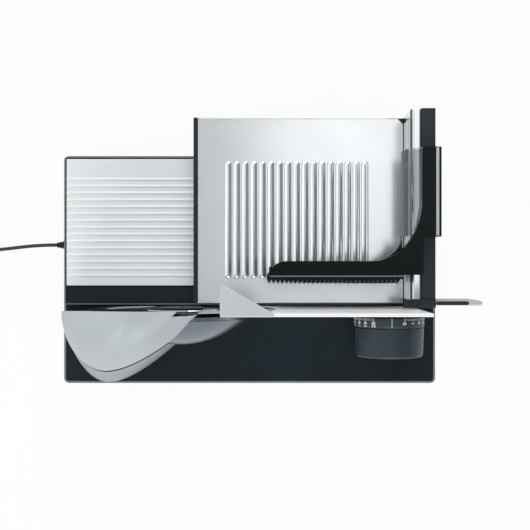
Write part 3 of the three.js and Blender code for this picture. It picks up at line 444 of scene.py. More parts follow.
class SLICER_OT_base(bpy.types.Operator):
    """Base housing, trim that is partly a painted edge highlight, bed with a painted highlight line, ribbed
    plate and buttons
    """

    bl_idname = "slicer.base"
    bl_label = "Base"

    def execute(self, context):
        sizes = context.scene.slicer_sizes
        copy_of("base_shell", "base_housing", "base", "gloss_black", sizes.edge)
        # The light machined ring round the base's top is partly a trim and partly a painted highlight of the
        # base's edge
        copy_of("base_trim_highlight", "edge_trim", "base", "machined", sizes.edge)
        copy_of("bed_slab", "carriage_bed", "base", "gloss_black", sizes.edge)
        # A thin light metal strip on the bed's front and left edges: a painted highlight of those edges
        low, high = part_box("carriage_bed")
        x, y = low[0] + BED_HIGHLIGHT_WIDTH, low[1] + BED_HIGHLIGHT_WIDTH
        corner = [(low[0], low[1]), (high[0], low[1]), (high[0], y), (x, y), (x, high[1]), (low[0], high[1])]
        line = outline("bed_painted_highlight_line", corner, high[2], high[2] + BED_HIGHLIGHT_RISE)
        place(line, "base", "machined")
        low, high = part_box("ribbed_plate")
        top = high[2] - BED_RIB_RISE
        sheet = box("plate_sheet", low, (high[0], high[1], top))
        round_off(sheet, sizes.sheet_edge)
        first = low[1] + BED_RIB_START
        start, end = (low[0] + BED_RIB_END, first, top), (high[0] - BED_RIB_END, first, top)
        line = rib("plate_rib", start, end, BED_RIB_WIDTH, sizes.base_rib)
        repeat(line, BED_RIBS, (0, BED_RIB_PITCH, 0))
        place(join("ribbed_sheet", [sheet, line]), "base", "plate", "ribbed_plate")
        for name in ("start_button", "lock_button"):
            copy_of(name + "_cap", name, name, "knob", sizes.edge)
        return {"FINISHED"}


# Motor tower, in millimetres of the frame: foot, seam and top of the dome
TOWER_FOOT = {"z": 45.3, "left": -198.0, "width": 142.4, "depth": 71.0, "front": -58.5}
TOWER_SEAM = {"z": 150.3, "left": -179.3, "width": 130.0, "depth": 54.3, "front": -53.4}
TOWER_DOME = 76.0
TOWER_TOP_X = -109.0
TOWER_TOP_FRONT = -50.5
TOWER_WALL = 3.0
TOWER_SEAM_GAP = 0.5
TOWER_SEAM_STEP = 1.3
TOWER_POCKET_FRONT = -54.8
TOWER_SHOULDER = (0.35, 0.75)
TOWER_FULLNESS = 1.4
TOWER_CROWN = 0.02
TOWER_RINGS = 22
TOWER_SIDES = 36

# Half-moon plan of the tower, in shares of its width and depth, as two curves
TOWER_PLAN = (
    ((0, 0), (0, -0.55), (0.1525, -1), (0.305, -1)),
    ((0.305, -1), (0.47, -1), (0.75, -0.57), (1, 0)),
)

# Gear case on the blade's axis, in millimetres of the frame
CASE_RADIUS = 60.0
CASE_DEPTH = 23.7
CASE_WALL = 2.5
CASE_RIM_Y = -60.6
CASE_RINGS = 24
BLADE_POCKET = 86.2

# Gap between pieces and run of a cutter past what it cuts, in millimetres, and a cutter's reach in metres
FIT = 0.3
PAST = 1.0
CUTTER = 0.3


def eased(t):
    return t * t * (3 - 2 * t)


def bezier(points, t):
    """A point on the curve that control points give."""
    while len(points) > 1:
        points = [tuple(a + (b - a) * t for a, b in zip(p, q)) for p, q in zip(points, points[1:])]
    return points[0]


def curve(points, steps):
    """Points along the curve that control points give."""
    return [bezier(points, i / steps) for i in range(steps + 1)]


def tower_shares():
    """Half-moon outline of the tower in shares of its width and depth."""
    left, right = (curve(side, TOWER_SIDES) for side in TOWER_PLAN)
    return left[:-1] + right


def tower_ring(z, inset):
    """The tower's outline at a height, drawn in by an inset, in metres."""
    foot, seam = TOWER_FOOT, TOWER_SEAM
    sized = {"left": inset, "width": -2 * inset, "depth": -inset, "front": 0}
    if z <= seam["z"]:
        t = (z - foot["z"]) / (seam["z"] - foot["z"])
        left, width, depth, front = (foot[key] + (seam[key] - foot[key]) * t + sized[key] for key in sized)
        return [Vector((left + u * width, front + v * depth, z)) * MM for u, v in tower_shares()]
    rise = min((z - seam["z"]) / (TOWER_DOME - inset), 1)
    front = seam["front"] + (TOWER_TOP_FRONT - seam["front"]) * rise
    ring = []
    for u, v in tower_shares():
        start, end = TOWER_SHOULDER
        fullness = 2 + TOWER_FULLNESS * eased(min(max((u - start) / (end - start), 0), 1))
        shrink = max((1 - rise**fullness) ** (1 / fullness), TOWER_CROWN)
        x = seam["left"] + inset + u * (seam["width"] - 2 * inset)
        spot = (TOWER_TOP_X + (x - TOWER_TOP_X) * shrink, front + v * (seam["depth"] - inset) * shrink, z)
        ring.append(Vector(spot) * MM)
    return ring


def lofted(name, rings):
    """A closed skin through rings of as many points, drawn out ring by ring."""
    piece = loop(name, len(rings[0]))
    edit_all(piece, "FACE")
    mesh = bmesh.from_edit_mesh(piece.data)
    spot = mesh.verts.layers.int.new("spot")
    for i, vertex in enumerate(mesh.verts):
        vertex[spot] = i
        vertex.co = rings[0][i]
    bmesh.update_edit_mesh(piece.data)
    for ring in rings[1:]:
        bpy.ops.mesh.extrude_region_move(TRANSFORM_OT_translate={"value": (0, 0, MM)})
        mesh = bmesh.from_edit_mesh(piece.data)
        spot = mesh.verts.layers.int["spot"]
        for vertex in mesh.verts:
            if vertex.select:
                vertex.co = ring[vertex[spot]]
        bmesh.update_edit_mesh(piece.data)
    leave_edit()
    settle(piece)
    return piece


def dome_heights(inset):
    turn = math.pi / 2 / TOWER_RINGS
    return [TOWER_SEAM["z"] + (TOWER_DOME - inset) * math.sin(i * turn) for i in range(TOWER_RINGS + 1)]


def tower_hollow():
    """Inside of the tower, behind its front wall."""
    heights = [TOWER_FOOT["z"] - PAST, TOWER_SEAM["z"] - PAST] + dome_heights(TOWER_WALL)
    hollow = lofted("tower_hollow", [tower_ring(z, TOWER_WALL) for z in heights])
    front = (TOWER_POCKET_FRONT - TOWER_WALL) * MM
    cut(hollow, box("front_wall", (-CUTTER, front, 0), (CUTTER, CUTTER, CUTTER)))
    return hollow


def case_line(radius, depth):
    shares = [i / CASE_RINGS for i in range(CASE_RINGS + 1)]
    return [(radius * s * MM, (CASE_RIM_Y - depth * (1 - s * s)) * MM) for s in shares]


def axis_of(joint):
    """Where a joint that turns about Y has its axis."""
    x, _, z = JOINTS[joint]["pos_m"]
    return (x, 0, z)


class SLICER_OT_tower(bpy.types.Operator):
    """Motor tower in two shells, with the gear case behind the blade"""

    bl_idname = "slicer.tower"
    bl_label = "Motor tower"

    def execute(self, context):
        sizes = context.scene.slicer_sizes
        seam = TOWER_SEAM["z"]
        step = TOWER_SEAM_STEP
        skirt = lofted("tower_lower", [tower_ring(z, 0) for z in (TOWER_FOOT["z"], seam - TOWER_SEAM_GAP)])
        cap = lofted("tower_dome", [tower_ring(z, step) for z in dome_heights(step)])
        gasket = lofted("tower_gasket", [tower_ring(z, FIT) for z in (seam - TOWER_SEAM_GAP, seam + FIT)])
        for shell, finish, nodes in (
            (skirt, "skirt", ["tower_skirt"]),
            (cap, "cast", ["tower_cap"]),
            (gasket, "rubber", []),
        ):
            cut(shell, tower_hollow())
            pocket = [(0, TOWER_POCKET_FRONT), (BLADE_POCKET, TOWER_POCKET_FRONT), (BLADE_POCKET, 0), (0, 0)]
            cut(shell, spun("blade_pocket", in_metres(pocket), axis_of("blade_spin"), "Y"))
            reach, mouth = CASE_RADIUS + FIT, TOWER_POCKET_FRONT + PAST
            hole = case_line(reach, CASE_DEPTH + FIT) + in_metres([(reach, mouth), (0, mouth)])
            cut(shell, spun("case_hole", hole, axis_of("blade_spin"), "Y"))
            if nodes:
                round_off(shell, sizes.edge, 2, 40)
            place(shell, "base", finish, *nodes)
        profile = case_line(CASE_RADIUS, CASE_DEPTH)
        profile += list(reversed(case_line(CASE_RADIUS - CASE_WALL, CASE_DEPTH - CASE_WALL)))
        dome = spun("gear_dome", profile, axis_of("blade_spin"), "Y", 128)
        cut(dome, tower_hollow())
        smooth(dome, 40)
        place(dome, "base", "spun", "gear_case")
        return {"FINISHED"}


# Blade, in millimetres of the frame; its tip and groove are given from the rim and the cutting plane
BLADE_RADIUS = 85.0
BLADE_THICKNESS = 1.4
BLADE_BORE = 5.6
BLADE_BEVEL = 13.0
BLADE_TIP = ((-0.3, -0.2), (0, -0.08), (0, 0), (-14, 0))
BLADE_GROOVE = ((-15, -0.5), (-53, -0.5), (-54, 0))
CUT_PLANE_Y = -52.5


class SLICER_OT_blade(bpy.types.Operator):
    """Round blade with a ground edge and its coin-slot lock"""

    bl_idname = "slicer.blade"
    bl_label = "Blade"

    def execute(self, context):
        sizes = context.scene.slicer_sizes
        back = CUT_PLANE_Y - BLADE_THICKNESS
        profile = [(BLADE_BORE, back), (BLADE_RADIUS - BLADE_BEVEL, back)]
        profile += [(BLADE_RADIUS + r, CUT_PLANE_Y + y) for r, y in BLADE_TIP + BLADE_GROOVE]
        profile.append((BLADE_BORE, CUT_PLANE_Y))
        disc = spun("round_blade", in_metres(profile), axis_of("blade_spin"), "Y", 160)
        smooth(disc, 12)
        place(disc, "blade", "blade", "blade")
        copy_of("blade_lock_disc", "blade_lock", "blade_lock", "black", sizes.sheet_edge)
        return {"FINISHED"}


class SLICER_OT_stop(bpy.types.Operator):
    """Stop plate, finger guard and the carrier behind them"""

    bl_idname = "slicer.stop"
    bl_label = "Stop plate"

    def execute(self, context):
        sizes = context.scene.slicer_sizes
        copy_of("stop_panel", "stop_plate", "stop", "plate", sizes.edge)
        copy_of("finger_wing", "finger_guard", "stop", "blasted", sizes.edge)
        copy_of("stop_arm", "stop_carrier", "stop", "black", sizes.sheet_edge)
        return {"FINISHED"}


# Thickness knob, in millimetres of the frame along Y; its grip is given from its back and its front
KNOB_RADIUS = 33.0
KNOB_CORE = 27.7
KNOB_BORE = 14.3
KNOB_FRONT_Y = -71.3
KNOB_BACK_Y = -99.0
KNOB_JOURNAL_Y = -86.3
DRUM_FRONT_Y = -61.5
DRUM_BACK_Y = -71.0
DRUM_WALL = 6.0
DRUM_EDGE = 0.5
GRIP_CAP = ((0, 1.2), (25.5, 1.2), (27, 0.4), (28.6, 0), (30.5, 0.4), (31.3, 1.3), (31.6, 2.4), (31.5, 3.4))
GRIP_SIDE = ((31.8, 3.7), (32.2, 14))
GRIP_RIM = ((32.6, -1.2), (32.4, -0.3), (31.8, 0))

# Printed scale: angles in degrees from the top, lengths in millimetres, and weight as a share of the height
SCALE_START = 18.6
SCALE_STEP = 15.45
SCALE_LAST = 20
SCALE_INSET = 0.4
CLOSED_MARK = -2.6
CLOSED_TICK = 8.4
MAJOR_TICK = 2.9
MINOR_TICK = 1.8
MINOR_TICKS = 4
TICK_WIDTH = 0.42
MINOR_WIDTH = 0.294
FIGURE_INSET = 3.5
FIGURE_WEIGHT = 0.012
INK_LIFT = 0.1


def wrap_on_drum(piece, degrees):
    """Lays a flat mark on the scale drum: its X along the axis, its Y round the drum."""
    x0, _, z0 = axis_of("knob_turn")
    radius = KNOB_RADIUS * MM
    for vertex in piece.data.vertices:
        u, w, t = vertex.co
        angle = math.radians(degrees) - w / radius
        reach = radius + t
        vertex.co = (x0 + reach * math.sin(angle), u, z0 + reach * math.cos(angle))


def tick(degrees, reach, width):
    """A printed line that starts at the drum's front."""
    front, half, lift = (DRUM_FRONT_Y - SCALE_INSET) * MM, width / 2 * MM, INK_LIFT * MM
    mark = box("tick", (front - reach * MM, -half, -lift), (front, half, lift))
    wrap_on_drum(mark, degrees)
    return mark


def figure(number, degrees, size):
    begin()
    bpy.ops.object.text_add(location=(0, 0, 0))
    text = bpy.context.object
    text.data.body = str(number)
    text.data.size = size
    text.data.align_x = "RIGHT"
    text.data.align_y = "CENTER"
    text.data.extrude = INK_LIFT * MM
    text.data.offset = FIGURE_WEIGHT * size
    bpy.ops.object.convert(target="MESH")
    mark = bpy.context.object
    mark.location = ((DRUM_FRONT_Y - FIGURE_INSET) * MM, 0, 0)
    settle(mark)
    wrap_on_drum(mark, degrees)
    return mark


class SLICER_OT_knob(bpy.types.Operator):
    """Thickness knob, its scale drum and the printed scale"""

    bl_idname = "slicer.knob"
    bl_label = "Thickness knob"

    def execute(self, context):
        sizes = context.scene.slicer_sizes
        grip = [(r, KNOB_BACK_Y + y) for r, y in GRIP_CAP + GRIP_SIDE]
        grip += [(r, KNOB_FRONT_Y + y) for r, y in GRIP_RIM]
        grip += [(KNOB_CORE, KNOB_FRONT_Y), (KNOB_CORE, DRUM_FRONT_Y), (KNOB_BORE, DRUM_FRONT_Y)]
        grip += [(KNOB_BORE, KNOB_JOURNAL_Y), (0, KNOB_JOURNAL_Y)]
        body = spun("knob_grip", in_metres(grip), axis_of("knob_turn"), "Y", 128)
        smooth(body, 32)
        place(body, "knob", "knob", "thickness_knob")
        inner, rim = KNOB_RADIUS - DRUM_WALL, KNOB_RADIUS - DRUM_EDGE
        drum = [(inner, DRUM_BACK_Y), (rim, DRUM_BACK_Y), (KNOB_RADIUS, DRUM_BACK_Y + DRUM_EDGE)]
        drum += [(KNOB_RADIUS, DRUM_FRONT_Y - DRUM_EDGE), (rim, DRUM_FRONT_Y), (inner, DRUM_FRONT_Y)]
        ring = spun("scale_drum", in_metres(drum), axis_of("knob_turn"), "Y", 128)
        smooth(ring, 50)
        place(ring, "knob", "knob", "scale_ring")
        marks = [tick(CLOSED_MARK, CLOSED_TICK, TICK_WIDTH)]
        for number in range(SCALE_LAST + 1):
            angle = SCALE_START + number * SCALE_STEP
            marks.append(tick(angle, MAJOR_TICK, TICK_WIDTH))
            marks.append(figure(number, angle, sizes.figure))
            if number < SCALE_LAST:
                for step in range(1, MINOR_TICKS + 1):
                    turn = angle + step * SCALE_STEP / (MINOR_TICKS + 1)
                    marks.append(tick(turn, MINOR_TICK, MINOR_WIDTH))
        place(join("scale_marks", marks), "knob", "ink")
        return {"FINISHED"}


# Carriage, in metres; TRAY_RIB_RISE is the height of the ribs on the tray's solid
TRAY_RIBS = 17
TRAY_RIB_PITCH = 8.26 * MM
TRAY_RIB_FIRST_X = -34.2 * MM
TRAY_RIB_FRONT_Y = -22.2 * MM
TRAY_RIB_BACK_Y = 84.6 * MM
TRAY_RIB_WIDTH = 7.6 * MM
TRAY_RIB_RISE = 1.2 * MM
HEM_WIDTH = 1.6 * MM
HEM_HEIGHT = 1.4 * MM
CLIP_SIZE = 5 * MM
GUARD_EDGE = 1.6 * MM
RAIL_EDGE = 1.6 * MM

# Trim on the carriage's wall, in metres; the strips are in shares of the wall's height
WALL_STRIPS = ((0.12, 0.47), (0.53, 0.82))
STRIP_RISE = 0.7 * MM
STRIP_EDGE = 0.6 * MM
SEAL_RISE = 0.6 * MM
SEAL_SPAN = (8 * MM, 0.4 * MM)
FOOT_LEFT = 8.4 * MM
FOOT_FRONT = 2.2 * MM
FOOT_BACK = 1 * MM
FOOT_HEIGHT = 1.6 * MM


class SLICER_OT_carriage(bpy.types.Operator):
    """Sliding carriage: ribbed tray, wall with its rail and bar, and the thumb guard"""

    bl_idname = "slicer.carriage"
    bl_label = "Carriage"

    def execute(self, context):
        sizes = context.scene.slicer_sizes
        copy_of("carriage_pan", "carriage_frame", "carriage", "black", sizes.sheet_edge)
        self.tray(sizes)
        self.wall(sizes)
        copy_of("tray_side_bar", "tray_edge_bar", "carriage", "dark", sizes.edge)
        copy_of("thumb_shield", "thumb_guard", "carriage", "cast", GUARD_EDGE, 4)
        copy_of("thumb_grip", "thumb_strip", "carriage", "dark", sizes.sheet_edge)
        return {"FINISHED"}

    def tray(self, sizes):
        low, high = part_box("carriage_tray")
        top = high[2] - TRAY_RIB_RISE
        sheet = box("tray_plate", low, (high[0], high[1], top))
        round_off(sheet, sizes.sheet_edge)
        start, end = (TRAY_RIB_FIRST_X, TRAY_RIB_FRONT_Y, top), (TRAY_RIB_FIRST_X, TRAY_RIB_BACK_Y, top)
        line = rib("tray_rib", start, end, TRAY_RIB_WIDTH, sizes.tray_rib)
        repeat(line, TRAY_RIBS, (TRAY_RIB_PITCH, 0, 0))
        right, back = high[0], high[1]
        hem = box("tray_hem", (low[0], back - HEM_WIDTH, top), (right, back, top + HEM_HEIGHT))
        round_off(hem, sizes.sheet_edge)
        place(join("ribbed_tray", [sheet, line, hem]), "carriage", "stainless", "carriage_tray")
        side = back - HEM_WIDTH
        corner = [(right - CLIP_SIZE, side), (right, side), (right, side - CLIP_SIZE)]
        clip = outline("corner_clip", corner, top, top + HEM_HEIGHT)
        round_off(clip, sizes.sheet_edge)
        place(clip, "carriage", "black")

    def wall(self, sizes):
        copy_of("wall_panel", "back_wall", "carriage", "chrome", sizes.sheet_edge)
        low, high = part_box("back_wall")
        height = high[2] - low[2]
        for i, (z0, z1) in enumerate(WALL_STRIPS):
            start = (low[0] - STRIP_RISE, low[1], low[2] + height * z0)
            strip = box(f"wall_strip_{i + 1}", start, (low[0], high[1], low[2] + height * z1))
            round_off(strip, STRIP_EDGE, 4)
            place(strip, "carriage", "chrome")
        start = (low[0] - SEAL_RISE, low[1], high[2] - SEAL_SPAN[0])
        seal = box("wall_seal", start, (low[0], high[1], high[2] - SEAL_SPAN[1]))
        round_off(seal, sizes.sheet_edge)
        place(seal, "carriage", "dark")
        copy_of("top_rail", "wall_rail", "carriage", "chrome", RAIL_EDGE, 5)
        copy_of("side_beam", "side_bar", "carriage", "dark", sizes.edge)
        low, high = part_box("thumb_guard")
        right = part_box("side_bar")[1][0]
        start = (low[0] - FOOT_LEFT, low[1] - FOOT_FRONT, high[2])
        foot = box("wall_foot", start, (right, high[1] + FOOT_BACK, high[2] + FOOT_HEIGHT))
        round_off(foot, sizes.sheet_edge)
        place(foot, "carriage", "black")


# Food holder, in millimetres of the frame; its painted highlight strip on the sleeve's edge is X and the drop
# from the sleeve's top
ARM_LEFT = 3.2
ARM_RIGHT = 126.2
ARM_FRONT = -21.4
ARM_BACK = -9.0
ARM_NOSE = ((21.2, ARM_BACK), (12.2, ARM_BACK), (7.2, -16.0))
ARM_HEEL = (1.0, 8.0)
NOSE_STEPS = 8
SWEEP_STEPS = 28
ARM_LOW = 119.4
ARM_TOP = 141.4
PUSHER_INSET = 2.0
PUSHER_DEPTH = 7.0
PUSHER_LOW = 78.3
PUSHER_TOP = 123.4
WEB_RIGHT = 144.0
WEB_LOW = 132.0
WEB_BACK = 56.0
WEB_SWEEP = 42.0
BEAM_BACK = 14.0
BEAM_SWEEP = 22.0
SLEEVE_HIGHLIGHT = ((155.4, 0.05), (156.6, 0.15), (157.6, 0.6), (158.3, 1.4), (158.6, 2.4))
FLANK = ((128.8, 105.6), (130.2, 136.5), (142.3, 141.2))
FLANK_STEPS = 20
FLANK_SPLIT = 10
FLANK_SHEET = 0.4
SLEEVE_ROOF = 131.4
SLEEVE_LEG = 157.7
WINDOW_EDGE = 142.9

# Toothed strip of the holder and the light clamp strip on it, which partly paints the highlight of the arm's
# front edge, in metres
TOOTH_PITCH = 4.0 * MM
TOOTH_DEPTH = 4.2 * MM
TOOTH_BACKING = 3.6 * MM
CLAMP_HIGHLIGHT_INSET = 2 * MM
CLAMP_HIGHLIGHT_WIDTH = 1.7 * MM
CLAMP_HIGHLIGHT_HEIGHT = 1.5 * MM


def arm_outline(right, back, sweep):
    """Plan of the holder's arm up to its concave sweep."""
    heel = (right - ARM_HEEL[0], ARM_BACK + ARM_HEEL[1])
    points = [(ARM_LEFT, ARM_FRONT), (right, ARM_FRONT)]
    points += curve([(right, back), heel, (right - sweep, ARM_BACK)], SWEEP_STEPS)
    return in_metres(points + curve(ARM_NOSE, NOSE_STEPS))


class SLICER_OT_holder(bpy.types.Operator):
    """Food holder: sleeve with its window, swept arm and toothed strip"""

    bl_idname = "slicer.holder"
    bl_label = "Food holder"

    def execute(self, context):
        sizes = context.scene.slicer_sizes
        low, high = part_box("holder_sleeve")
        right, floor, top = high[0] / MM, low[2] / MM, high[2] / MM
        ledge = top - SLEEVE_HIGHLIGHT[-1][1] - FIT
        section = [(WINDOW_EDGE, SLEEVE_ROOF), (WINDOW_EDGE, top), (SLEEVE_HIGHLIGHT[0][0], top)]
        section += [(SLEEVE_HIGHLIGHT[-1][0], ledge), (right, ledge), (right, floor)]
        section += [(SLEEVE_LEG, floor), (SLEEVE_LEG, SLEEVE_ROOF)]
        sleeve = outline("holder_cover", in_metres(section), low[1], high[1], "Y")
        web = arm_outline(WEB_RIGHT, WEB_BACK, WEB_SWEEP)
        cut(sleeve, outline("holder_web", web, WEB_LOW * MM, ARM_TOP * MM), "UNION")
        round_off(sleeve, sizes.edge, 3, 32)
        place(sleeve, "holder", "holder", "holder_sleeve")
        flank = curve(FLANK, FLANK_STEPS)
        front, back = low[1] + sizes.edge, high[1] - sizes.edge
        parts = (("sleeve_lip", flank[:FLANK_SPLIT], "lip"), ("sleeve_flank", flank[FLANK_SPLIT:], "smoked"))
        for name, part, finish in parts:
            sheet = part + [(x + FLANK_SHEET, z) for x, z in reversed(part)]
            shine = outline(name, in_metres(sheet), front, back, "Y")
            cut(shine, outline("flank_notch", web, 0, CUTTER))
            smooth(shine, 40)
            place(shine, "holder", finish)
        # A light strip along the sleeve's rounded top edge: a painted highlight, with the sleeve stepped down
        # under it
        streak = [(x, top - drop) for x, drop in SLEEVE_HIGHLIGHT]
        edge = outline("sleeve_painted_highlight", in_metres(streak), front, back, "Y")
        smooth(edge, 40)
        place(edge, "holder", "blasted")
        plan = arm_outline(ARM_RIGHT, BEAM_BACK, BEAM_SWEEP)
        arm = outline("holder_beam", plan, ARM_LOW * MM, (WEB_LOW - FIT) * MM)
        start = Vector((ARM_LEFT + PUSHER_INSET, ARM_FRONT, PUSHER_LOW)) * MM
        end = Vector((ARM_RIGHT, ARM_FRONT + PUSHER_DEPTH, PUSHER_TOP)) * MM
        pusher = box("holder_pusher", start, end)
        cut(arm, pusher, "UNION")
        round_off(arm, sizes.edge, 3, 32)
        place(arm, "holder", "holder", "holder_arm")
        place(self.teeth(), "holder", "holder", "tooth_strip")
        # The light strip on the teeth's top is partly a clamp and partly a painted highlight along the arm's
        # front edge
        low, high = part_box("tooth_strip")
        start = (low[0] + CLAMP_HIGHLIGHT_INSET, high[1] - CLAMP_HIGHLIGHT_WIDTH, high[2] + FIT * MM)
        clamp = box("tooth_clamp_highlight", start, (high[0], high[1], high[2] + CLAMP_HIGHLIGHT_HEIGHT))
        round_off(clamp, sizes.sheet_edge)
        place(clamp, "holder", "spun")
        return {"FINISHED"}

    def teeth(self):
        """Rows of pointed teeth on a backing strip."""
        low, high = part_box("tooth_strip")
        face = high[1] - TOOTH_BACKING
        strip = box("tooth_backing", (low[0], face, low[2]), high)
        begin()
        bpy.ops.mesh.primitive_cone_add(
            vertices=4, radius1=TOOTH_PITCH / math.sqrt(2), depth=TOOTH_DEPTH, rotation=(0, 0, math.pi / 4)
        )
        spike = bpy.context.object
        settle(spike)
        spike.rotation_euler = (math.pi / 2, 0, 0)
        spike.location = (low[0] + TOOTH_PITCH / 2, face - TOOTH_DEPTH / 2, high[2] - TOOTH_PITCH / 2)
        settle(spike)
        repeat(spike, int((high[0] - low[0]) / TOOTH_PITCH), (TOOTH_PITCH, 0, 0))
        repeat(spike, int((high[2] - low[2]) / TOOTH_PITCH), (0, 0, -TOOTH_PITCH))
        return join("tooth_comb", [strip, spike])


# Mains lead: its route in metres, and its coil of two flat layers, with the turns in degrees
LEAD_DIAMETER = 3.6 * MM
LEAD_ROUTE = [
    (-0.2118, 0.008, 0.020),
    (-0.2250, 0.0078, 0.0176),
    (-0.2400, 0.0072, 0.0094),
    (-0.2550, 0.0059, 0.0034),
    (-0.2690, 0.0043, 0.0021),
    (-0.2820, 0.0032, 0.0021),
    (-0.2935, 0.0030, 0.0021),
]
ROUTE_STEPS = 4
TAIL_STEPS = 5
COIL_MIDDLE = (-0.3085, -0.0256)
COIL_OUTER = 28.6 * MM
COIL_INNER = 14.4 * MM
COIL_LAYER_TURNS = 1380
COIL_RISE_TURN = 120
COIL_ALL_TURNS = 2880
COIL_STEP = 15
COIL_START = 90
COIL_LOW = 2.1 * MM
COIL_HIGH = 5.9 * MM

# Plug and strain relief, in metres; a ring of the relief is its shares of the pitch and its depths
PLUG_EDGE = 3.2 * MM
PIN_EDGE = 0.7 * MM
RELIEF_WALL = 1 * MM
RELIEF_EDGE = 0.3 * MM
RELIEF_RINGS = 4
RELIEF_RING = ((0.25, 0), (0.4, 0.7 * MM), (0.75, 0.7 * MM), (0.9, 0))


def through(points, steps):
    """Points on a smooth line through a list of points."""
    padded = [points[0], *points, points[-1]]
    made = []
    for i in range(len(points) - 1):
        a, b, c, d = (Vector(p) for p in padded[i : i + 4])
        bend, twist = 2 * a - 5 * b + 4 * c - d, 3 * b - a - 3 * c + d
        for k in range(steps):
            t = k / steps
            made.append(0.5 * (2 * b + (c - a) * t + bend * t**2 + twist * t**3))
    made.append(Vector(points[-1]))
    return made


def coil_points():
    """Two flat layers: winding in on the floor, a step up, and winding out again."""
    made = []
    for degrees in range(0, COIL_ALL_TURNS + 1, COIL_STEP):
        rise_end = COIL_LAYER_TURNS + COIL_RISE_TURN
        spread = COIL_OUTER - COIL_INNER
        if degrees <= COIL_LAYER_TURNS:
            radius, z = COIL_OUTER - spread * degrees / COIL_LAYER_TURNS, COIL_LOW
        elif degrees <= rise_end:
            share = eased((degrees - COIL_LAYER_TURNS) / COIL_RISE_TURN)
            radius, z = COIL_INNER, COIL_LOW + (COIL_HIGH - COIL_LOW) * share
        else:
            share = (degrees - rise_end) / (COIL_ALL_TURNS - rise_end)
            radius, z = COIL_INNER + spread * share, COIL_HIGH
        angle = math.radians(COIL_START + degrees)
        x, y = COIL_MIDDLE[0] + radius * math.cos(angle), COIL_MIDDLE[1] + radius * math.sin(angle)
        made.append(Vector((x, y, z)))
    return made


class SLICER_OT_lead(bpy.types.Operator):
    """Mains lead with its strain relief, coil and plug"""

    bl_idname = "slicer.lead"
    bl_label = "Mains lead"

    def execute(self, context):
        low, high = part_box("plug_body")
        end = Vector((high[0], (low[1] + high[1]) / 2, (low[2] + high[2]) / 2))
        points = through(LEAD_ROUTE, ROUTE_STEPS) + coil_points()
        last = points[-1]
        for i in range(1, TAIL_STEPS + 1):
            point = last.lerp(end, i / TAIL_STEPS)
            point.z = last.z + (end.z - last.z) * eased(i / TAIL_STEPS)
            points.append(point)
        line = bpy.data.curves.new("mains_cord", "CURVE")
        line.dimensions = "3D"
        line.bevel_depth = LEAD_DIAMETER / 2
        line.bevel_resolution = 4
        line.resolution_u = 4
        line.use_fill_caps = True
        spline = line.splines.new("BEZIER")
        spline.bezier_points.add(len(points) - 1)
        for spot, point in zip(spline.bezier_points, points):
            spot.co = point
            spot.handle_left_type = spot.handle_right_type = "AUTO"
        cord = bpy.data.objects.new("mains_cord", line)
        context.scene.collection.objects.link(cord)
        place(cord, "base", "lead", "mains_lead", "lead_coil", "plug_lead")
        relief = self.relief()
        plug = copy_of("plug_housing", "plug_body", "base", "black", PLUG_EDGE, 5)
        names = ("plug_pin_1", "plug_pin_2")
        pins = [copy_of(name + "_turned", name, "base", "pin", PIN_EDGE) for name in names]
        return {"FINISHED"}

    def relief(self):
        """Tapered strain relief with shallow rings."""
        low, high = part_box("strain_relief")
        middle = (0, (low[1] + high[1]) / 2, (low[2] + high[2]) / 2)
        thick, thin = (high[2] - low[2]) / 2, LEAD_DIAMETER / 2 + RELIEF_WALL
        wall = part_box("base_housing")[0][0]
        start, run = low[0] + RELIEF_EDGE, wall - low[0] - 2 * RELIEF_EDGE
        profile = [(0, low[0]), (thin - RELIEF_EDGE, low[0]), (thin, start)]
        for i in range(RELIEF_RINGS):
            for part, dip in RELIEF_RING:
                share = (i + part) / RELIEF_RINGS
                profile.append((thin + (thick - thin) * share - dip, start + run * share))
        profile += [(thick, wall), (thick, high[0]), (0, high[0])]
        piece = spun("cord_relief", profile, middle, "X", 48)
        smooth(piece, 40)
        place(piece, "base", "rubber", "strain_relief")
        return piece


# Frame nodes that keep their own solid, by finish
KEPT_NODES = {
    "black": ["bottom_cover", "rear_shoe_1", "rear_shoe_2", "rod_block_rear", "rod_block_front", "knob_gear"],
    "dark": ["lead_nut", "switch_body", "blade_pulley"],
    "machined": ["drive_plate", "motor_bracket", "front_bearing", "rear_bearing", "blade_shaft", "lead_screw"],
    "spun": ["motor_can"],
    "chrome": ["guide_rod_1", "guide_rod_2"],
    "copper": ["motor_rotor"],
    "rubber": ["drive_belt", "foot_1", "foot_2", "foot_3", "foot_4"],
    "nylon": ["front_pad", "terminal_block"],
}


class SLICER_OT_kept(bpy.types.Operator):
    """Finishes of the inner parts that keep their own solid"""

    bl_idname = "slicer.kept"
    bl_label = "Inner parts"

    def execute(self, context):
        for finish, names in KEPT_NODES.items():
            for name in names:
                dress(NODES[name], finish)
        return {"FINISHED"}


# Studio, in metres and watts; each lamp is its name, place, target, size and power
CAMERA_X = 0.0014
CAMERA_Y = -0.0125
PIXELS = 530
PIXELS_PER_METRE = 955
FLOOR_SIZE = 8.0
PAPER_WHITE = 0.93
LAMPS = [
    ("overhead", (0.42, 0.82, 2.2), (0.42, 0.82, 0), (0.85, 1.8), 3.9),
    ("front", (0.2, -1.9, 1.5), (0, 0, 0.08), (2.2, 0.9), 30),
    ("back", (0.0, 2.2, 1.4), (0, 0, 0.08), (2.2, 0.9), 29),
    ("left", (-1.6, 0.2, 1.1), (0, 0, 0.08), (2.2, 1.2), 6),
]
WORLD_LEFT = 0.6
WORLD_RIGHT = 0.23
WORLD_TURN = (-0.02, 0.3)
BACKDROP_RISE = (0.1, 0.25)


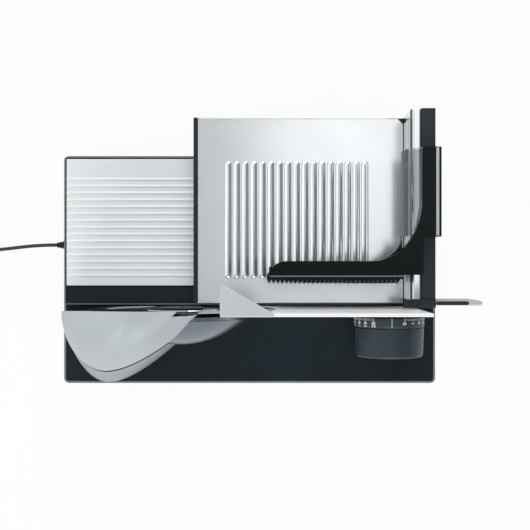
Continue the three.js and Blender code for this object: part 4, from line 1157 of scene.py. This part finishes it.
class SLICER_OT_stage(bpy.types.Operator):
    """Floor, lamps, world and camera"""

    bl_idname = "slicer.stage"
    bl_label = "Studio"

    def execute(self, context):
        scene = context.scene
        begin()
        bpy.ops.mesh.primitive_plane_add(size=FLOOR_SIZE, location=(0, 0, 0))
        floor = bpy.context.object
        floor.name = "studio_floor"
        floor.data.materials.append(self.floor_finish(scene.slicer_colours.floor))
        for name, spot, target, size, power in LAMPS:
            lamp = bpy.data.lights.new(name, "AREA")
            lamp.shape = "RECTANGLE"
            lamp.size, lamp.size_y = size
            lamp.energy = power
            item = bpy.data.objects.new(name, lamp)
            item.location = spot
            aim = Vector(target) - Vector(spot)
            item.rotation_euler = aim.to_track_quat("-Z", "Y").to_euler()
            scene.collection.objects.link(item)
        self.world(scene)
        lens = bpy.data.cameras.new("camera")
        lens.sensor_fit = "HORIZONTAL"
        lens.angle = 2 * math.atan(PIXELS / 2 / PIXELS_PER_METRE)
        camera = bpy.data.objects.new("camera", lens)
        camera.location = (CAMERA_X, CAMERA_Y, scene.slicer_sizes.camera_height)
        scene.collection.objects.link(camera)
        scene.camera = camera
        scene.view_settings.view_transform = "Standard"
        return {"FINISHED"}

    def floor_finish(self, pale):
        """Pale matt paper that is white to the camera and in reflections, and keeps a faint shadow."""
        material = bpy.data.materials.new("matt_paper")
        tree = empty_tree(material)
        paper = add_node(tree, "ShaderNodeBsdfDiffuse", None, {"Color": pale})
        white = add_node(tree, "ShaderNodeEmission", None, {"Strength": 1.0})
        inputs = {0: self.seen(tree), 1: PAPER_WHITE}
        share = add_node(tree, "ShaderNodeMath", {"operation": "MULTIPLY"}, inputs)
        inputs = {0: share.outputs[0], 1: paper.outputs[0], 2: white.outputs[0]}
        mix = add_node(tree, "ShaderNodeMixShader", None, inputs)
        add_node(tree, "ShaderNodeOutputMaterial", None, {"Surface": mix.outputs[0]})
        return material

    def seen(self, tree):
        """One for camera, glossy and transmission rays."""
        path = add_node(tree, "ShaderNodeLightPath")
        total = path.outputs["Is Camera Ray"]
        for name in ("Is Glossy Ray", "Is Transmission Ray"):
            inputs = {0: total, 1: path.outputs[name]}
            total = add_node(tree, "ShaderNodeMath", {"operation": "MAXIMUM"}, inputs).outputs[0]
        return total

    def world(self, scene):
        scene.world = bpy.data.worlds.new("studio_air")
        tree = empty_tree(scene.world)
        sky = add_node(tree, "ShaderNodeTexCoord")
        axes = add_node(tree, "ShaderNodeSeparateXYZ", None, {0: sky.outputs["Generated"]})
        start, end = WORLD_TURN
        turn = {"From Min": start, "From Max": end, "To Min": WORLD_LEFT, "To Max": WORLD_RIGHT}
        eases = {"interpolation_type": "SMOOTHSTEP"}
        fall = add_node(tree, "ShaderNodeMapRange", eases, {"Value": axes.outputs["X"], **turn})
        air = {"Color": linear("#f6f8fa"), "Strength": fall.outputs["Result"]}
        soft = add_node(tree, "ShaderNodeBackground", None, air)
        white = add_node(tree, "ShaderNodeBackground", None, {"Color": (1, 1, 1, 1), "Strength": 1.0})
        start, end = BACKDROP_RISE
        rise = {"From Min": start, "From Max": end, "To Min": 1.0, "To Max": 0.0}
        low = add_node(tree, "ShaderNodeMapRange", None, {"Value": axes.outputs["Z"], **rise})
        inputs = {0: self.seen(tree), 1: low.outputs["Result"]}
        share = add_node(tree, "ShaderNodeMath", {"operation": "MULTIPLY"}, inputs)
        path = add_node(tree, "ShaderNodeLightPath")
        inputs = {0: share.outputs[0], 1: path.outputs["Is Camera Ray"]}
        view = add_node(tree, "ShaderNodeMath", {"operation": "MAXIMUM"}, inputs)
        inputs = {0: view.outputs[0], 1: soft.outputs[0], 2: white.outputs[0]}
        mix = add_node(tree, "ShaderNodeMixShader", None, inputs)
        add_node(tree, "ShaderNodeOutputWorld", None, {"Surface": mix.outputs[0]})


class SLICER_PT_panel(bpy.types.Panel):
    bl_idname = "SLICER_PT_panel"
    bl_label = "Food slicer"
    bl_space_type = "VIEW_3D"
    bl_region_type = "UI"
    bl_category = "Slicer"

    def draw(self, context):
        for step in STEPS:
            self.layout.operator(step.bl_idname)


STEPS = (
    SLICER_OT_stage,
    SLICER_OT_lead,
    SLICER_OT_base,
    SLICER_OT_tower,
    SLICER_OT_blade,
    SLICER_OT_stop,
    SLICER_OT_knob,
    SLICER_OT_carriage,
    SLICER_OT_holder,
    SLICER_OT_kept,
)
CLASSES = (SlicerSizes, SlicerColours, *STEPS, SLICER_PT_panel)


def register():
    for item in CLASSES:
        bpy.utils.register_class(item)
    bpy.types.Scene.slicer_sizes = PointerProperty(type=SlicerSizes)
    bpy.types.Scene.slicer_colours = PointerProperty(type=SlicerColours)


def unregister():
    del bpy.types.Scene.slicer_colours
    del bpy.types.Scene.slicer_sizes
    for item in reversed(CLASSES):
        bpy.utils.unregister_class(item)


def main():
    register()
    make_finishes()
    for step in STEPS:
        group, name = step.bl_idname.split(".")
        getattr(getattr(bpy.ops, group), name)()


if __name__ == "__main__":
    main()
